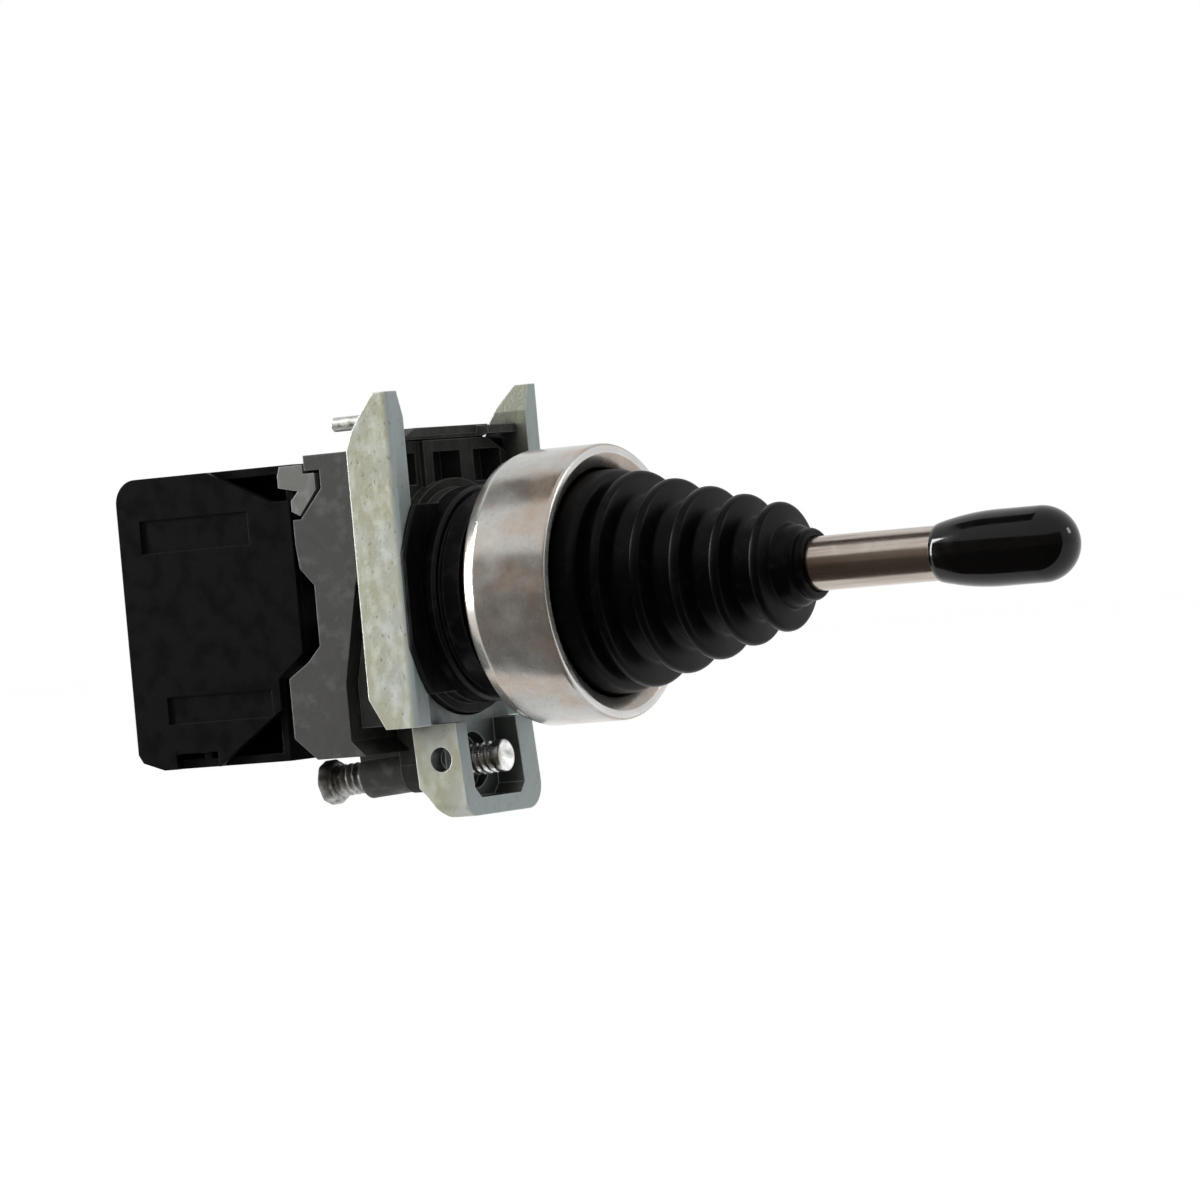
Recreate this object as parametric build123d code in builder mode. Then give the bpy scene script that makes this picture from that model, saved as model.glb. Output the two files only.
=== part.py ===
from build123d import *
import math
import os

os.makedirs("parts", exist_ok=True)

# A panel-mount joystick controller. The lever's axis is +X, out of the panel towards the hand,
# and +Z is up. The origin lies on that axis at the front surface of the panel.
# Left is the side of -Y and right the side of +Y, as the operator sees them.

# Clearances
running_fit = 0.05         # radial, a pin or stem that turns or slides in its bore
seat_fit = 0.1             # radial, a fixed ring or disc in its recess
side_gap = 0.2             # flat faces that slide past each other
joint_gap = 0.3            # fixed mouldings side by side
edge_break = 0.3           # chamfer on turned and moulded edges
contact_gap = 0.2          # between pieces that press on each other when the lever tilts

# Lever
tilt_deg = 18.0            # to each side
pivot_x = 4.0
pivot_pin_r = 1.5
rod_r = 3.7
rod_grip_x = 64.0          # where the rod enters the grip
rod_in_grip = 12.0
rod_in_hub = 6.0
hub_r = 4.6
hub_boss_r = 4.4           # boss round the pivot pin
hub_half_height = 6.0
hub_nose_length = 10.0     # from the pivot to the hub's front end
arm_r = 1.2                # rounded nose at each arm's end
arm_back = 2.0             # nose centre behind the pivot
arm_depth = 2.5
arm_half_height = 1.8
grip_length = 20.3
grip_start_r = 4.0
grip_r = 5.15
grip_flare_length = 9.0

# Push pins under the arms
pusher_inset = 1.8         # of each push pin's axis from the barrel's bore
pusher_head_r = 1.6
pusher_head_length = 2.0
pusher_stem_r = 1.1
pusher_end_x = -16.5
spring_wire_r = 0.22
spring_turns = 5

# Bezel, seal and head, from the panel's front surface
bezel_overhang = 8.0       # of the bezel past the barrel that fits the panel's hole
bezel_depth = 13.4
bezel_wall = 2.1
bezel_rear_chamfer = 1.1
bezel_lip_r = 1.1
bezel_mouth_slope = 1.2     # the front face slopes in towards the boot
bezel_mouth_lip = 1.4      # thickness of the inner edge behind that slope
seat_lip = 1.3             # inward step that the head's flange rests on
seat_lip_depth = 2.0
flange_depth = 3.0
flange_mouth_step = 1.0    # wider than the bore, so that the arms can swing
barrel_r = 11.0            # the land that fits the panel's hole
barrel_relief = 0.3        # smaller again behind the panel, inside the collar
barrel_wall = 1.6
barrel_length = 14.0
barrel_root_step = 0.5     # wider root inside the gasket, in front of the panel
post_half_width = 4.0
post_front_x = 8.5
post_rear_x = -1.0
guide_plate_thickness = 2.0
guide_inset = 0.4          # from the barrel's rear end to the guide plate

# Boot
boot_wall = 1.2
boot_rim_thickness = 1.6
retainer_width = 1.5
boot_base_front = 2.6      # past the bezel's front edge
retainer_depth = 2.4
ridge_count = 5
ridge_pitch = 5.35
first_ridge = 5.1          # past the bezel's front edge
first_ridge_inset = 0.65   # of the first crest from the boot's base
ridge_flat = 0.18          # half the crest's width, as a part of the pitch
ridge_shoulder = 0.34      # and half its width at the shoulder
ridge_step = 1.5           # each ridge is this much smaller in radius
groove_depth = 2.2
boot_neck_r = 5.2
boot_tip_x = 45.0

# Collar, from the panel's rear surface backwards
panel_thickness = 3.0
ring_length = 6.6
ring_step = 0.6            # between the ring's two radii, and again down to its groove
ring_groove_width = 1.0
ring_front_length = 2.6
ring_edge_r = 0.4
insert_ring_length = 2.4
insert_ring_step = 0.8     # length of the ring's wider rear step
insert_thickness = 4.9
insert_top = 21.7
insert_corner = 4.8        # width of the sloped corners
insert_corner_z = 19.4
insert_setback = 0.8       # of the front face's left end
setback_z = 12.0           # its lower edge
window_pitch = 10.5
window_width = 7.2
window_height = 4.4
window_z = 17.9
window_depth = 3.4
ear_clearance = 1.0        # from the contact blocks' width to the ears' inner faces
ear_thickness = 3.7
ear_taper = 1.2            # each ear is this much thinner at its top
ear_taper_height = 3.6
ear_front_x = -8.4
ear_rear_x = -15.7
ear_top = 28.6
ear_bottom = -17.3
ear_flat = 2.2             # flat on top, from the front edge backwards
ear_slope = 2.5            # drop of each of the three slopes behind it
ear_heel_x = 2.4
ear_heel_z = 4.3
ear_edge_r = 0.9
web_front_x = -12.0
web_top = -8.0
gusset_reach = 3.2
gusset_top = -11.0
lug_half_width = 10.0
lug_bottom = -30.3
lug_near_wall = 2.7
lug_far_wall = 4.2
lug_floor = 2.4
pocket_corner = 1.4        # cut across the pocket's two lower corners
lug_front_x = -8.3
lug_foot_front_x = -7.4
lug_near_corner_r = 2.0
lug_far_corner_r = 4.0
lug_heel = 4.3             # size of the cut-off rear corner at the foot
lug_hole_r = 1.7
lug_hole_x = -11.1
lug_hole_z = -22.2
extension_rear_x = -21.9   # the insert's block behind the lower half of its plate
extension_inset = 3.3      # from the insert's sides
extension_top = 2.6
extension_step = 2.0       # depth of its upper edge
extension_knee_z = -10.6   # below this it reaches its full depth
pin_r = 1.0
pin_tail_x = -18.5
pin_head_x = -10.0
pin_z = 24.8

# Clamp screw: it leans a little, so that its head clears the contact blocks
screw_r = 2.25
screw_head_r = 3.15
screw_head_length = 2.0
screw_lean_deg = 4.1
screw_z = -22.85           # where its axis crosses the lug's rear wall
screw_front = 5.3          # from there to its front end
screw_rear = 22.4          # from there to its head
screw_point_chamfer = 0.5
screw_boss_r = 3.6
screw_boss_drop = 0.4      # of the boss's axis below the screw's
screw_counterbore_r = 3.9
screw_slot_width = 0.9
carrier_boss_r = 3.1
carrier_boss_rear = 17.2   # from the lug's rear wall to the boss's rear end

# Release slider on top of the insert
slider_thickness = 1.6
slider_undercut = 0.5      # the front edge's lower half stands back
slider_left = -7.8
slider_slope = 3.0         # length of the sloped left end
slider_right = 11.2
slider_front_x = -11.9
slider_rear_x = -15.4
slider_travel = 3.0
slider_fence = 1.1         # height of the insert's rib behind the slider
tab_left = 8.2
tab_front_x = -10.0
tab_overlap = 2.0
foot_left = -2.0
foot_right = 7.0
foot_width = 1.6
foot_depth = 1.5
slider_spring_length = 2.5 * slider_travel

# Contact carrier
carrier_front_x = -16.9
carrier_top = 21.1
carrier_bottom = -20.8
carrier_nose_z = 7.5       # lower edge of the front face
carrier_foot_z = -18.6
waist_x = -25.9            # rear face between the two limbs
waist_top = 3.2
waist_bottom = -5.2
limb_slope_x = -28.0
upper_limb_x = -28.4
upper_limb_bottom = 5.6
upper_limb_top = 12.4
lower_limb_x = -31.4
lower_limb_top = -9.4
lower_limb_bottom = -17.7
lower_limb_heel_x = -27.9
seat_front_x = -23.4       # hollow that a latch hook lies in
seat_z = 16.4
seat_top = 19.0
bay_rib = 2.2              # between two bays
bay_inner_z = 5.6
bay_outer_z = 18.4
upper_bay_front_x = -19.4
lower_bay_front_x = -24.4

# Latch hooks
hook_rear_x = -30.4
hook_front_x = -24.3
hook_top = 19.9
hook_bottom = 12.9
hook_tip_x = -28.5
strap_thickness = 3.6
hook_corner = 1.3

# Contact blocks
block_pitch = 10.0
block_front_x = -28.8
block_rear_x = -57.7
block_top = 20.1
block_bottom = -20.7
block_step_x = -33.1       # lower front edge, behind the carrier's lower limb
block_step_z = -9.2
nose_bottom = -6.0         # lower edge of the front face above it
cover_top_x = -42.3        # the cover's front end along the top edge
cover_shoulder_z = 15.2
cover_foot_z = -13.5
cover_bottom_x = -44.2     # and along the bottom edge
notch_rear_x = -51.3       # in the cover, over the lower wire entry
notch_front_x = -44.3
notch_depth = 2.1
panel_depth = 0.35         # of the two shallow panels in the cover
upper_panel = ((-54.0, -36.0), (9.6, 14.2))
lower_panel = ((-52.0, -34.6), (-14.4, -10.6))
guide_rib_share = 0.28     # of the room between the front wall and the terminals
block_corner_r = 3.4
block_wall = 1.2
cover_thickness = 1.3
block_split_gap = 0.2
plunger_half_height = 2.2
plunger_width = 3.2
plunger_tail = 6.3         # from the bridge to the plunger's rear end
bridge_thickness = 0.8
bridge_half_length = 9.2
bridge_width = 2.6
tip_r = 1.3
tip_thickness = 0.6
tip_z = 7.8
strip_thickness = 0.8
strip_width = 3.2
terminal_z = 15.4
terminal_plate_thickness = 1.2
terminal_plate_width = 6.0
terminal_plate_length = 6.6
wire_space = 4.0
clamp_gap = 1.6            # between the wire clamp and the screw's head
wire_window = 3.6
clamp_thickness = 1.4
terminal_screw_r = 1.7
terminal_head_r = 2.8
terminal_head_length = 2.4
terminal_head_depth = 1.1  # below the block's rear face
terminal_screw_tail = 2.0

# Values that follow from those above
body_half_width = 1.5 * block_pitch
ear_inner = body_half_width + ear_clearance
ear_outer = ear_inner + ear_thickness
bezel_r = barrel_r + bezel_overhang
opening_r = bezel_r - bezel_wall
boot_base_r = opening_r - retainer_width
bezel_mouth_r = boot_base_r + joint_gap
first_ridge_r = boot_base_r - first_ridge_inset
seat_r = opening_r - seat_lip
flange_rear_x = seat_lip_depth
flange_front_x = flange_rear_x + flange_depth
barrel_rear_r = barrel_r - barrel_relief
bore_r = barrel_r - barrel_wall
pusher_offset = bore_r - pusher_inset
flange_mouth_r = bore_r + flange_mouth_step
collar_bore_r = barrel_rear_r + joint_gap
arm_x = pivot_x - arm_back
pusher_front_x = arm_x - arm_r - contact_gap
pusher_neck_x = pusher_front_x - pusher_head_length
guide_front_x = -barrel_length + guide_inset + guide_plate_thickness
ring_r = body_half_width
ring_front_r = ring_r - ring_step
ring_groove_r = ring_front_r - ring_step
ring_front_x = -panel_thickness
ring_rear_x = ring_front_x - ring_length
insert_front_x = ring_rear_x - insert_ring_length
insert_rear_x = insert_front_x - insert_thickness
insert_half_width = ear_inner - joint_gap
insert_corner_y = insert_half_width - insert_corner
insert_ring_r = ear_inner + joint_gap
web_opening_r = ear_inner + 2 * joint_gap
slot_rear_x = slider_rear_x + side_gap
slot_front_x = slot_rear_x + foot_width + 2 * side_gap
slot_floor = insert_top - foot_depth
slider_bottom = insert_top + side_gap
slider_top = slider_bottom + slider_thickness
tab_right = ear_inner - 2 * side_gap
housing_outer = body_half_width - cover_thickness
bay_width = block_pitch - bay_rib
block_inner = block_pitch / 2 + block_split_gap / 2
chamber_inner = block_inner + block_wall
plunger_inner = chamber_inner + side_gap
plunger_outer = plunger_inner + plunger_width
front_wall_x = block_front_x - block_wall
rear_wall_x = block_rear_x + block_wall
terminal_head_x = block_rear_x + terminal_head_depth
terminal_neck_x = terminal_head_x + terminal_head_length
wire_rear_x = terminal_neck_x + clamp_gap
wire_front_x = wire_rear_x + wire_space
terminal_plate_x = wire_front_x + terminal_plate_thickness
guide_rib_length = guide_rib_share * (front_wall_x - terminal_plate_x)
bridge_x = (front_wall_x + terminal_plate_x) / 2
plunger_rear_x = bridge_x - plunger_tail
screw_axis = Plane(
    origin=(web_front_x, 0, screw_z),
    x_dir=(0, 1, 0),
    z_dir=(math.cos(math.radians(screw_lean_deg)), 0, math.sin(math.radians(screw_lean_deg))),
)
sides = {"left": -1, "right": 1}


def save(piece, name):
    piece.part.label = name
    export_step(piece.part, f"parts/{name}.step")


def side_plane(y):
    """A plane at the given Y that faces -Y, with X across and Z up."""
    return Plane(origin=(0, y, 0), x_dir=(1, 0, 0), z_dir=(0, -1, 0))


def outward(side, inner, outer):
    """The span from inner to outer on one side of the middle, lowest Y first."""
    return sorted((side * inner, side * outer))


def span_box(x, y, z, mode=Mode.ADD):
    """A box between two corners, each given as a pair of limits."""
    middle = tuple((low + high) / 2 for low, high in (x, y, z))
    with Locations(middle):
        Box(abs(x[1] - x[0]), abs(y[1] - y[0]), abs(z[1] - z[0]), mode=mode)


def round_x(start, end, radius, y=0.0, z=0.0, mode=Mode.ADD):
    """A round bar or bore along X."""
    with BuildSketch(Plane.YZ.offset(start)) as section:
        with Locations((y, z)):
            Circle(radius)
    extrude(section.sketch, amount=end - start, mode=mode)


def round_y(start, end, radius, x, z, mode=Mode.ADD):
    """A round bar or bore along Y."""
    with BuildSketch(side_plane(end)) as section:
        with Locations((x, z)):
            Circle(radius)
    extrude(section.sketch, amount=end - start, mode=mode)


def slab(points, y, mode=Mode.ADD):
    """An outline in X and Z, given its thickness between two values of Y."""
    with BuildSketch(side_plane(y[1])) as section:
        with BuildLine():
            Polyline(points, close=True)
        make_face()
    extrude(section.sketch, amount=y[1] - y[0], mode=mode)


def coil(start, end, radius, wire_r, turns, direction):
    """A compression spring between two points, of nearly round wire."""
    length = (Vector(*end) - Vector(*start)).length
    with BuildPart() as spring:
        with BuildLine() as path:
            Helix(
                pitch=(length - 2 * wire_r) / turns,
                height=length - 2 * wire_r,
                radius=radius,
                center=Vector(*start) + Vector(*direction) * wire_r,
                direction=direction,
            )
        with BuildSketch(Plane(origin=path.line @ 0, z_dir=path.line % 0)):
            RegularPolygon(wire_r, 6)
        sweep(is_frenet=True)
    return spring


# Head

with BuildPart() as bezel_ring:
    with BuildSketch(Plane.XZ):
        with BuildLine():
            Polyline(
                (bezel_depth - bezel_lip_r, bezel_r),
                (bezel_rear_chamfer, bezel_r),
                (0, bezel_r - bezel_rear_chamfer),
                (0, seat_r),
                (seat_lip_depth, seat_r),
                (seat_lip_depth, opening_r),
                (bezel_depth - bezel_mouth_slope - bezel_mouth_lip, opening_r),
                (bezel_depth - bezel_mouth_slope - bezel_mouth_lip, bezel_mouth_r),
                (bezel_depth - bezel_mouth_slope, bezel_mouth_r),
                (bezel_depth, bezel_r - bezel_lip_r),
            )
            RadiusArc(
                (bezel_depth, bezel_r - bezel_lip_r),
                (bezel_depth - bezel_lip_r, bezel_r),
                -bezel_lip_r,
            )
        make_face()
    revolve(axis=Axis.X)
save(bezel_ring, "bezel_ring")

with BuildPart() as bezel_gasket:
    round_x(0, seat_lip_depth, seat_r - seat_fit)
    round_x(0, seat_lip_depth, barrel_r + barrel_root_step + seat_fit, mode=Mode.SUBTRACT)
save(bezel_gasket, "bezel_gasket")

flange_r = opening_r - seat_fit
post_root = (bore_r + barrel_r) / 2
post_tip = hub_half_height + side_gap
pivot_pin_half = post_root - joint_gap

with BuildPart() as head_barrel:
    round_x(-barrel_length, -panel_thickness, barrel_rear_r)
    round_x(-panel_thickness, 0, barrel_r)
    round_x(0, flange_rear_x, barrel_r + barrel_root_step)
    round_x(flange_rear_x, flange_front_x, flange_r)
    round_x(-barrel_length, flange_front_x, bore_r, mode=Mode.SUBTRACT)
    round_x(arm_x - arm_r - side_gap, flange_front_x, flange_mouth_r, mode=Mode.SUBTRACT)
    for up in (-1, 1):
        # Each post carries one end of the pivot pin and is rooted in the flange.
        post = [
            (post_rear_x, up * post_tip),
            (post_front_x, up * post_tip),
            (post_front_x, up * post_root),
            (flange_front_x, up * post_root),
            (flange_front_x, up * (flange_mouth_r + barrel_wall)),
            (flange_rear_x, up * (flange_mouth_r + barrel_wall)),
            (flange_rear_x, up * post_root),
            (post_rear_x, up * post_root),
        ]
        slab(post, (-post_half_width, post_half_width))
    with Locations((pivot_x, 0, 0)):
        Cylinder(pivot_pin_r + running_fit, 2 * pivot_pin_half, mode=Mode.SUBTRACT)
save(head_barrel, "head_barrel")

with BuildPart() as pivot_pin:
    with Locations((pivot_x, 0, 0)):
        Cylinder(pivot_pin_r, 2 * pivot_pin_half)
    chamfer(pivot_pin.edges().filter_by(GeomType.CIRCLE), pivot_pin_r / 5)
save(pivot_pin, "pivot_pin")

with BuildPart() as guide_plate:
    round_x(guide_front_x - guide_plate_thickness, guide_front_x, bore_r - seat_fit)
    for side in sides.values():
        round_x(
            guide_front_x - guide_plate_thickness,
            guide_front_x,
            pusher_stem_r + running_fit,
            y=side * pusher_offset,
            mode=Mode.SUBTRACT,
        )
save(guide_plate, "guide_plate")

boot_base_x = bezel_depth + boot_base_front
ridges = [
    (bezel_depth + first_ridge + i * ridge_pitch, first_ridge_r - i * ridge_step)
    for i in range(ridge_count)
]
last_ridge_x, last_ridge_r = ridges[-1]
grooves = [(x - ridge_pitch / 2, r + ridge_step / 2 - groove_depth) for x, r in ridges]
grooves[0] = (boot_base_x + boot_wall / 2, boot_base_r - groove_depth)
grooves.append((last_ridge_x + ridge_pitch / 2, boot_neck_r))
rim_front_x = flange_front_x + boot_rim_thickness


def ridge_line(i, wall):
    """One ridge from groove to groove, inside the boot's surface by the given wall."""
    crest_x, crest_r = ridges[i]
    flat = ridge_flat * ridge_pitch
    shoulder = ridge_shoulder * ridge_pitch
    behind, before = grooves[i], grooves[i + 1]
    points = [
        behind,
        (crest_x - shoulder, (crest_r + behind[1]) / 2 + wall / 4),
        (crest_x - flat, crest_r),
        (crest_x + flat, crest_r),
        (crest_x + shoulder, (crest_r + before[1]) / 2 + wall / 4),
        before,
    ]
    return [(x, r - wall) for x, r in points]


with BuildPart() as boot:
    with BuildSketch(Plane.XZ):
        with BuildLine():
            Polyline(
                (flange_front_x, boot_base_r - boot_wall),
                (flange_front_x, opening_r - seat_fit),
                (rim_front_x, opening_r - seat_fit),
                (rim_front_x, boot_base_r),
                (boot_base_x, boot_base_r),
                grooves[0],
            )
            for i in range(ridge_count):
                Polyline(ridge_line(i, 0))
            Polyline(
                grooves[-1],
                (boot_tip_x, boot_neck_r),
                (boot_tip_x, rod_r + seat_fit),
                (grooves[-1][0] - boot_wall, rod_r + seat_fit),
                (last_ridge_x, last_ridge_r - 2 * boot_wall),
                (grooves[-2][0], grooves[-2][1] - boot_wall),
            )
            for i in range(ridge_count - 1):
                Polyline(ridge_line(i, boot_wall))
            Polyline(
                (grooves[0][0], grooves[0][1] - boot_wall),
                (boot_base_x - boot_wall, boot_base_r - boot_wall),
                (flange_front_x, boot_base_r - boot_wall),
            )
        make_face()
    revolve(axis=Axis.X)
save(boot, "boot")

with BuildPart() as boot_retainer:
    round_x(rim_front_x, rim_front_x + retainer_depth, opening_r - seat_fit)
    round_x(rim_front_x, rim_front_x + retainer_depth, boot_base_r + seat_fit, mode=Mode.SUBTRACT)
save(boot_retainer, "boot_retainer")

# Lever

hub_front_x = pivot_x + hub_nose_length
rod_rear_x = hub_front_x - rod_in_hub

with BuildPart() as lever_hub:
    round_x(pivot_x - arm_back - arm_r / 2, hub_front_x, hub_r)
    with Locations((pivot_x, 0, 0)):
        Cylinder(hub_boss_r, 2 * hub_half_height)
    span_box(
        (arm_x, arm_x + arm_depth),
        (-pusher_offset, pusher_offset),
        (-arm_half_height, arm_half_height),
    )
    with Locations((arm_x, -pusher_offset, 0), (arm_x, pusher_offset, 0)):
        Cylinder(arm_r, 2 * arm_half_height)
    round_x(rod_rear_x, hub_front_x, rod_r, mode=Mode.SUBTRACT)
    with Locations((pivot_x, 0, 0)):
        Cylinder(pivot_pin_r + running_fit, 2 * hub_half_height, mode=Mode.SUBTRACT)
    chamfer(lever_hub.edges().filter_by(GeomType.CIRCLE).sort_by(Axis.X)[-1], edge_break)
save(lever_hub, "lever_hub")

with BuildPart() as lever_rod:
    round_x(rod_rear_x, rod_grip_x + rod_in_grip, rod_r)
    chamfer(lever_rod.edges().filter_by(GeomType.CIRCLE), edge_break)
save(lever_rod, "lever_rod")

grip_end_x = rod_grip_x + grip_length

with BuildPart() as grip:
    with BuildSketch(Plane.XZ):
        with BuildLine():
            Polyline(
                (grip_end_x, 0),
                (rod_grip_x, 0),
                (rod_grip_x, grip_start_r),
                (rod_grip_x + grip_flare_length / 2, (grip_start_r + 2 * grip_r) / 3),
                (rod_grip_x + grip_flare_length, grip_r),
                (grip_end_x - grip_r, grip_r),
            )
            RadiusArc((grip_end_x - grip_r, grip_r), (grip_end_x, 0), grip_r)
        make_face()
    revolve(axis=Axis.X)
    round_x(rod_grip_x, rod_grip_x + rod_in_grip, rod_r, mode=Mode.SUBTRACT)
save(grip, "grip")

for name, side in sides.items():
    offset_y = side * pusher_offset
    with BuildPart() as push_pin:
        round_x(pusher_neck_x, pusher_front_x, pusher_head_r, y=offset_y)
        round_x(pusher_end_x, pusher_neck_x, pusher_stem_r, y=offset_y)
        chamfer(push_pin.edges().filter_by(GeomType.CIRCLE).sort_by(Axis.X)[-1], edge_break)
    save(push_pin, f"push_pin_{name}")
    return_spring = coil(
        (guide_front_x, offset_y, 0),
        (pusher_neck_x, offset_y, 0),
        (pusher_stem_r + pusher_head_r) / 2 + running_fit,
        spring_wire_r,
        spring_turns,
        (1, 0, 0),
    )
    save(return_spring, f"return_spring_{name}")

# Collar

with BuildPart() as panel_ring:
    with BuildSketch(Plane.XZ):
        with BuildLine():
            Polyline(
                (ring_rear_x, collar_bore_r),
                (ring_rear_x, ring_r),
                (ring_front_x - ring_front_length - ring_groove_width, ring_r),
                (ring_front_x - ring_front_length - ring_groove_width, ring_groove_r),
                (ring_front_x - ring_front_length, ring_groove_r),
                (ring_front_x - ring_front_length, ring_front_r),
                (ring_front_x, ring_front_r),
                (ring_front_x, collar_bore_r),
                close=True,
            )
        make_face()
    revolve(axis=Axis.X)
    chamfer(panel_ring.edges().filter_by(GeomType.CIRCLE).sort_by(SortBy.RADIUS)[-2:], ring_edge_r)
save(panel_ring, "panel_ring")

ear_profile = [
    (ear_front_x, ear_bottom),
    (ear_front_x, ear_top),
    (ear_front_x - ear_flat, ear_top),
    (ear_front_x - 2 * ear_flat, ear_top - ear_slope),
    (ear_rear_x + ear_flat / 2, ear_top - 2 * ear_slope),
    (ear_rear_x, ear_top - 3 * ear_slope),
    (ear_rear_x, ear_bottom + ear_heel_z),
    (ear_rear_x + ear_heel_x, ear_bottom),
]
lug_rear_x = ear_rear_x + joint_gap
lug_depth = web_front_x - lug_rear_x
pocket_left = lug_near_wall - lug_half_width
pocket_right = lug_half_width - lug_far_wall
pocket_floor = lug_bottom + lug_floor
lug_profile = [
    (lug_rear_x, ear_bottom),
    (lug_rear_x + 0.1 * lug_heel, lug_bottom + lug_heel),
    (lug_rear_x + 0.4 * lug_heel, lug_bottom + 0.7 * lug_heel),
    (lug_rear_x + 0.7 * lug_heel, lug_bottom + 0.3 * lug_heel),
    (lug_rear_x + lug_heel, lug_bottom),
    (lug_foot_front_x, lug_bottom),
    (lug_front_x, ear_bottom),
]

with BuildPart() as collar_casting:
    for side in sides.values():
        slab(ear_profile, outward(side, ear_inner, ear_outer))
    outer_edges = collar_casting.edges().filter_by(Axis.Z).group_by(Axis.X)[-1]
    fillet(outer_edges.filter_by(lambda e: abs(e.center().Y) > ear_inner + ear_edge_r), ear_edge_r)
    for side in sides.values():
        with BuildSketch(Plane.YZ.offset(ear_rear_x)):
            with BuildLine():
                Polyline(
                    (side * ear_inner, ear_top - ear_taper_height),
                    (side * (ear_inner + ear_taper), ear_top),
                    (side * ear_inner, ear_top),
                    close=True,
                )
            make_face()
        extrude(amount=ear_front_x - ear_rear_x, mode=Mode.SUBTRACT)
    slab(lug_profile, (-lug_half_width, lug_half_width))
    foot_edges = collar_casting.edges().filter_by(Axis.X).group_by(Axis.Z)[0].sort_by(Axis.Y)
    fillet(foot_edges[0], lug_near_corner_r)
    foot_edges = collar_casting.edges().filter_by(Axis.X).group_by(Axis.Z)[0].sort_by(Axis.Y)
    fillet(foot_edges[-1], lug_far_corner_r)
    span_box(
        (lug_rear_x, web_front_x),
        (-ear_inner, ear_inner),
        (ear_bottom, web_top),
    )
    for side in sides.values():
        with BuildSketch(Plane.XY.offset(ear_bottom)):
            with BuildLine():
                Polyline(
                    (web_front_x, side * ear_inner),
                    (ear_front_x, side * ear_inner),
                    (web_front_x, side * (ear_inner - gusset_reach)),
                    close=True,
                )
            make_face()
        extrude(amount=gusset_top - ear_bottom)
    round_x(lug_rear_x, web_front_x, web_opening_r, mode=Mode.SUBTRACT)
    with BuildSketch(Plane.YZ.offset(web_front_x)):
        with BuildLine():
            Polyline(
                (pocket_left, ear_bottom + joint_gap),
                (pocket_left, pocket_floor + pocket_corner),
                (pocket_left + pocket_corner, pocket_floor),
                (pocket_right - pocket_corner, pocket_floor),
                (pocket_right, pocket_floor + pocket_corner),
                (pocket_right, ear_bottom + joint_gap),
                close=True,
            )
        make_face()
    extrude(amount=lug_foot_front_x + joint_gap - web_front_x, mode=Mode.SUBTRACT)
    round_y(
        -lug_half_width,
        pocket_left,
        lug_hole_r,
        lug_hole_x,
        lug_hole_z,
        mode=Mode.SUBTRACT,
    )
    with BuildSketch(screw_axis.offset(-2 * lug_depth)):
        Circle(screw_r + running_fit)
    extrude(amount=3 * lug_depth, mode=Mode.SUBTRACT)
    with BuildSketch(screw_axis.offset(-lug_depth / 2)):
        Circle(screw_counterbore_r)
    extrude(amount=lug_depth, mode=Mode.SUBTRACT)
    round_x(
        pin_tail_x,
        pin_head_x,
        pin_r + running_fit,
        y=-(ear_inner + ear_outer) / 2,
        z=pin_z,
        mode=Mode.SUBTRACT,
    )
save(collar_casting, "collar_casting")

with BuildPart() as locating_pin:
    round_x(pin_tail_x, pin_head_x, pin_r, y=-(ear_inner + ear_outer) / 2, z=pin_z)
    chamfer(locating_pin.edges().filter_by(GeomType.CIRCLE).sort_by(Axis.X)[0], pin_r / 4)
save(locating_pin, "locating_pin")

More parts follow.
